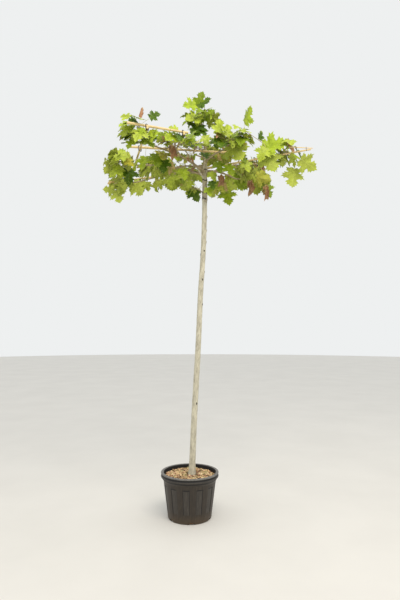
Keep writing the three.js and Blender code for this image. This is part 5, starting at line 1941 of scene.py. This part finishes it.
class PLANETREE_OT_stage(bpy.types.Operator):
    """Sets the floor, the soft light and the camera"""
    bl_idname = "plane_tree.stage"
    bl_label = "Floor, light and camera"

    def execute(self, context):
        scene, sides = context.scene, FLOOR["sides"]
        rim = [(FLOOR["radius"] * math.cos(a), FLOOR["radius"] * math.sin(a)) for a in turns(sides)]
        corners = [(x, y, z) for z in (-FLOOR["thickness"], 0) for x, y in rim]
        around = list(range(sides))
        faces = [around[::-1], [sides + k for k in around]]
        faces += [(k, (k + 1) % sides, sides + (k + 1) % sides, sides + k) for k in around]
        mesh = bpy.data.meshes.new("floor")
        mesh.from_pydata(corners, [], faces)
        mesh.materials.append(plain_tone("painted_floor_matt", "#dfdcd6", "#e3e0da", 600, 0.85,
                                         0.0))
        floor = bpy.data.objects.new("floor", mesh)
        scene.collection.objects.link(floor)

        world = bpy.data.worlds.new("soft_daylight")
        world.use_nodes = True
        sky = world.node_tree.nodes["Background"]
        sky.inputs["Color"].default_value = linear("#eef0f0")
        sky.inputs["Strength"].default_value = 1.0
        scene.world = world
        scene.view_settings.view_transform = "Standard"

        lamp = bpy.data.lights.new("soft_box", "AREA")
        lamp.shape, lamp.energy = "RECTANGLE", LAMP["watts"]
        lamp.size, lamp.size_y = LAMP["size"]
        lamp.color = linear("#fff6e8")[:3]
        aim(bpy.data.objects.new("soft_box", lamp), LAMP)

        lens = bpy.data.cameras.new("camera")
        lens.lens, lens.sensor_width = CAMERA["lens"], CAMERA["sensor"]
        scene.camera = bpy.data.objects.new("camera", lens)
        aim(scene.camera, CAMERA)
        return {"FINISHED"}


PIECES = (PLANETREE_OT_pot, PLANETREE_OT_mulch, PLANETREE_OT_trunk, PLANETREE_OT_boughs,
          PLANETREE_OT_canes, PLANETREE_OT_ties, PLANETREE_OT_twigs, PLANETREE_OT_leaves,
          PLANETREE_OT_stage)


class PLANETREE_PT_tree(bpy.types.Panel):
    bl_label = "Plane tree"
    bl_idname = "PLANETREE_PT_tree"
    bl_space_type = "VIEW_3D"
    bl_region_type = "UI"
    bl_category = "Plane tree"

    def draw(self, context):
        layout = self.layout
        for group in (sizes(), colours()):
            column = layout.column()
            for name in group.__annotations__:
                column.prop(group, name)
        for piece in PIECES:
            layout.operator(piece.bl_idname)


CLASSES = (PlaneTreeSizes, PlaneTreeColours, *PIECES, PLANETREE_PT_tree)


def register():
    for cls in CLASSES:
        bpy.utils.register_class(cls)
    bpy.types.Scene.plane_tree_sizes = bpy.props.PointerProperty(type=PlaneTreeSizes)
    bpy.types.Scene.plane_tree_colours = bpy.props.PointerProperty(type=PlaneTreeColours)


def unregister():
    del bpy.types.Scene.plane_tree_sizes, bpy.types.Scene.plane_tree_colours
    for cls in reversed(CLASSES):
        bpy.utils.unregister_class(cls)


def main():
    register()
    bpy.ops.plane_tree.pot()
    bpy.ops.plane_tree.mulch()
    bpy.ops.plane_tree.trunk()
    bpy.ops.plane_tree.boughs()
    bpy.ops.plane_tree.canes()
    bpy.ops.plane_tree.ties()
    bpy.ops.plane_tree.twigs()
    bpy.ops.plane_tree.leaves()
    bpy.ops.plane_tree.stage()


if __name__ == "__main__":
    main()
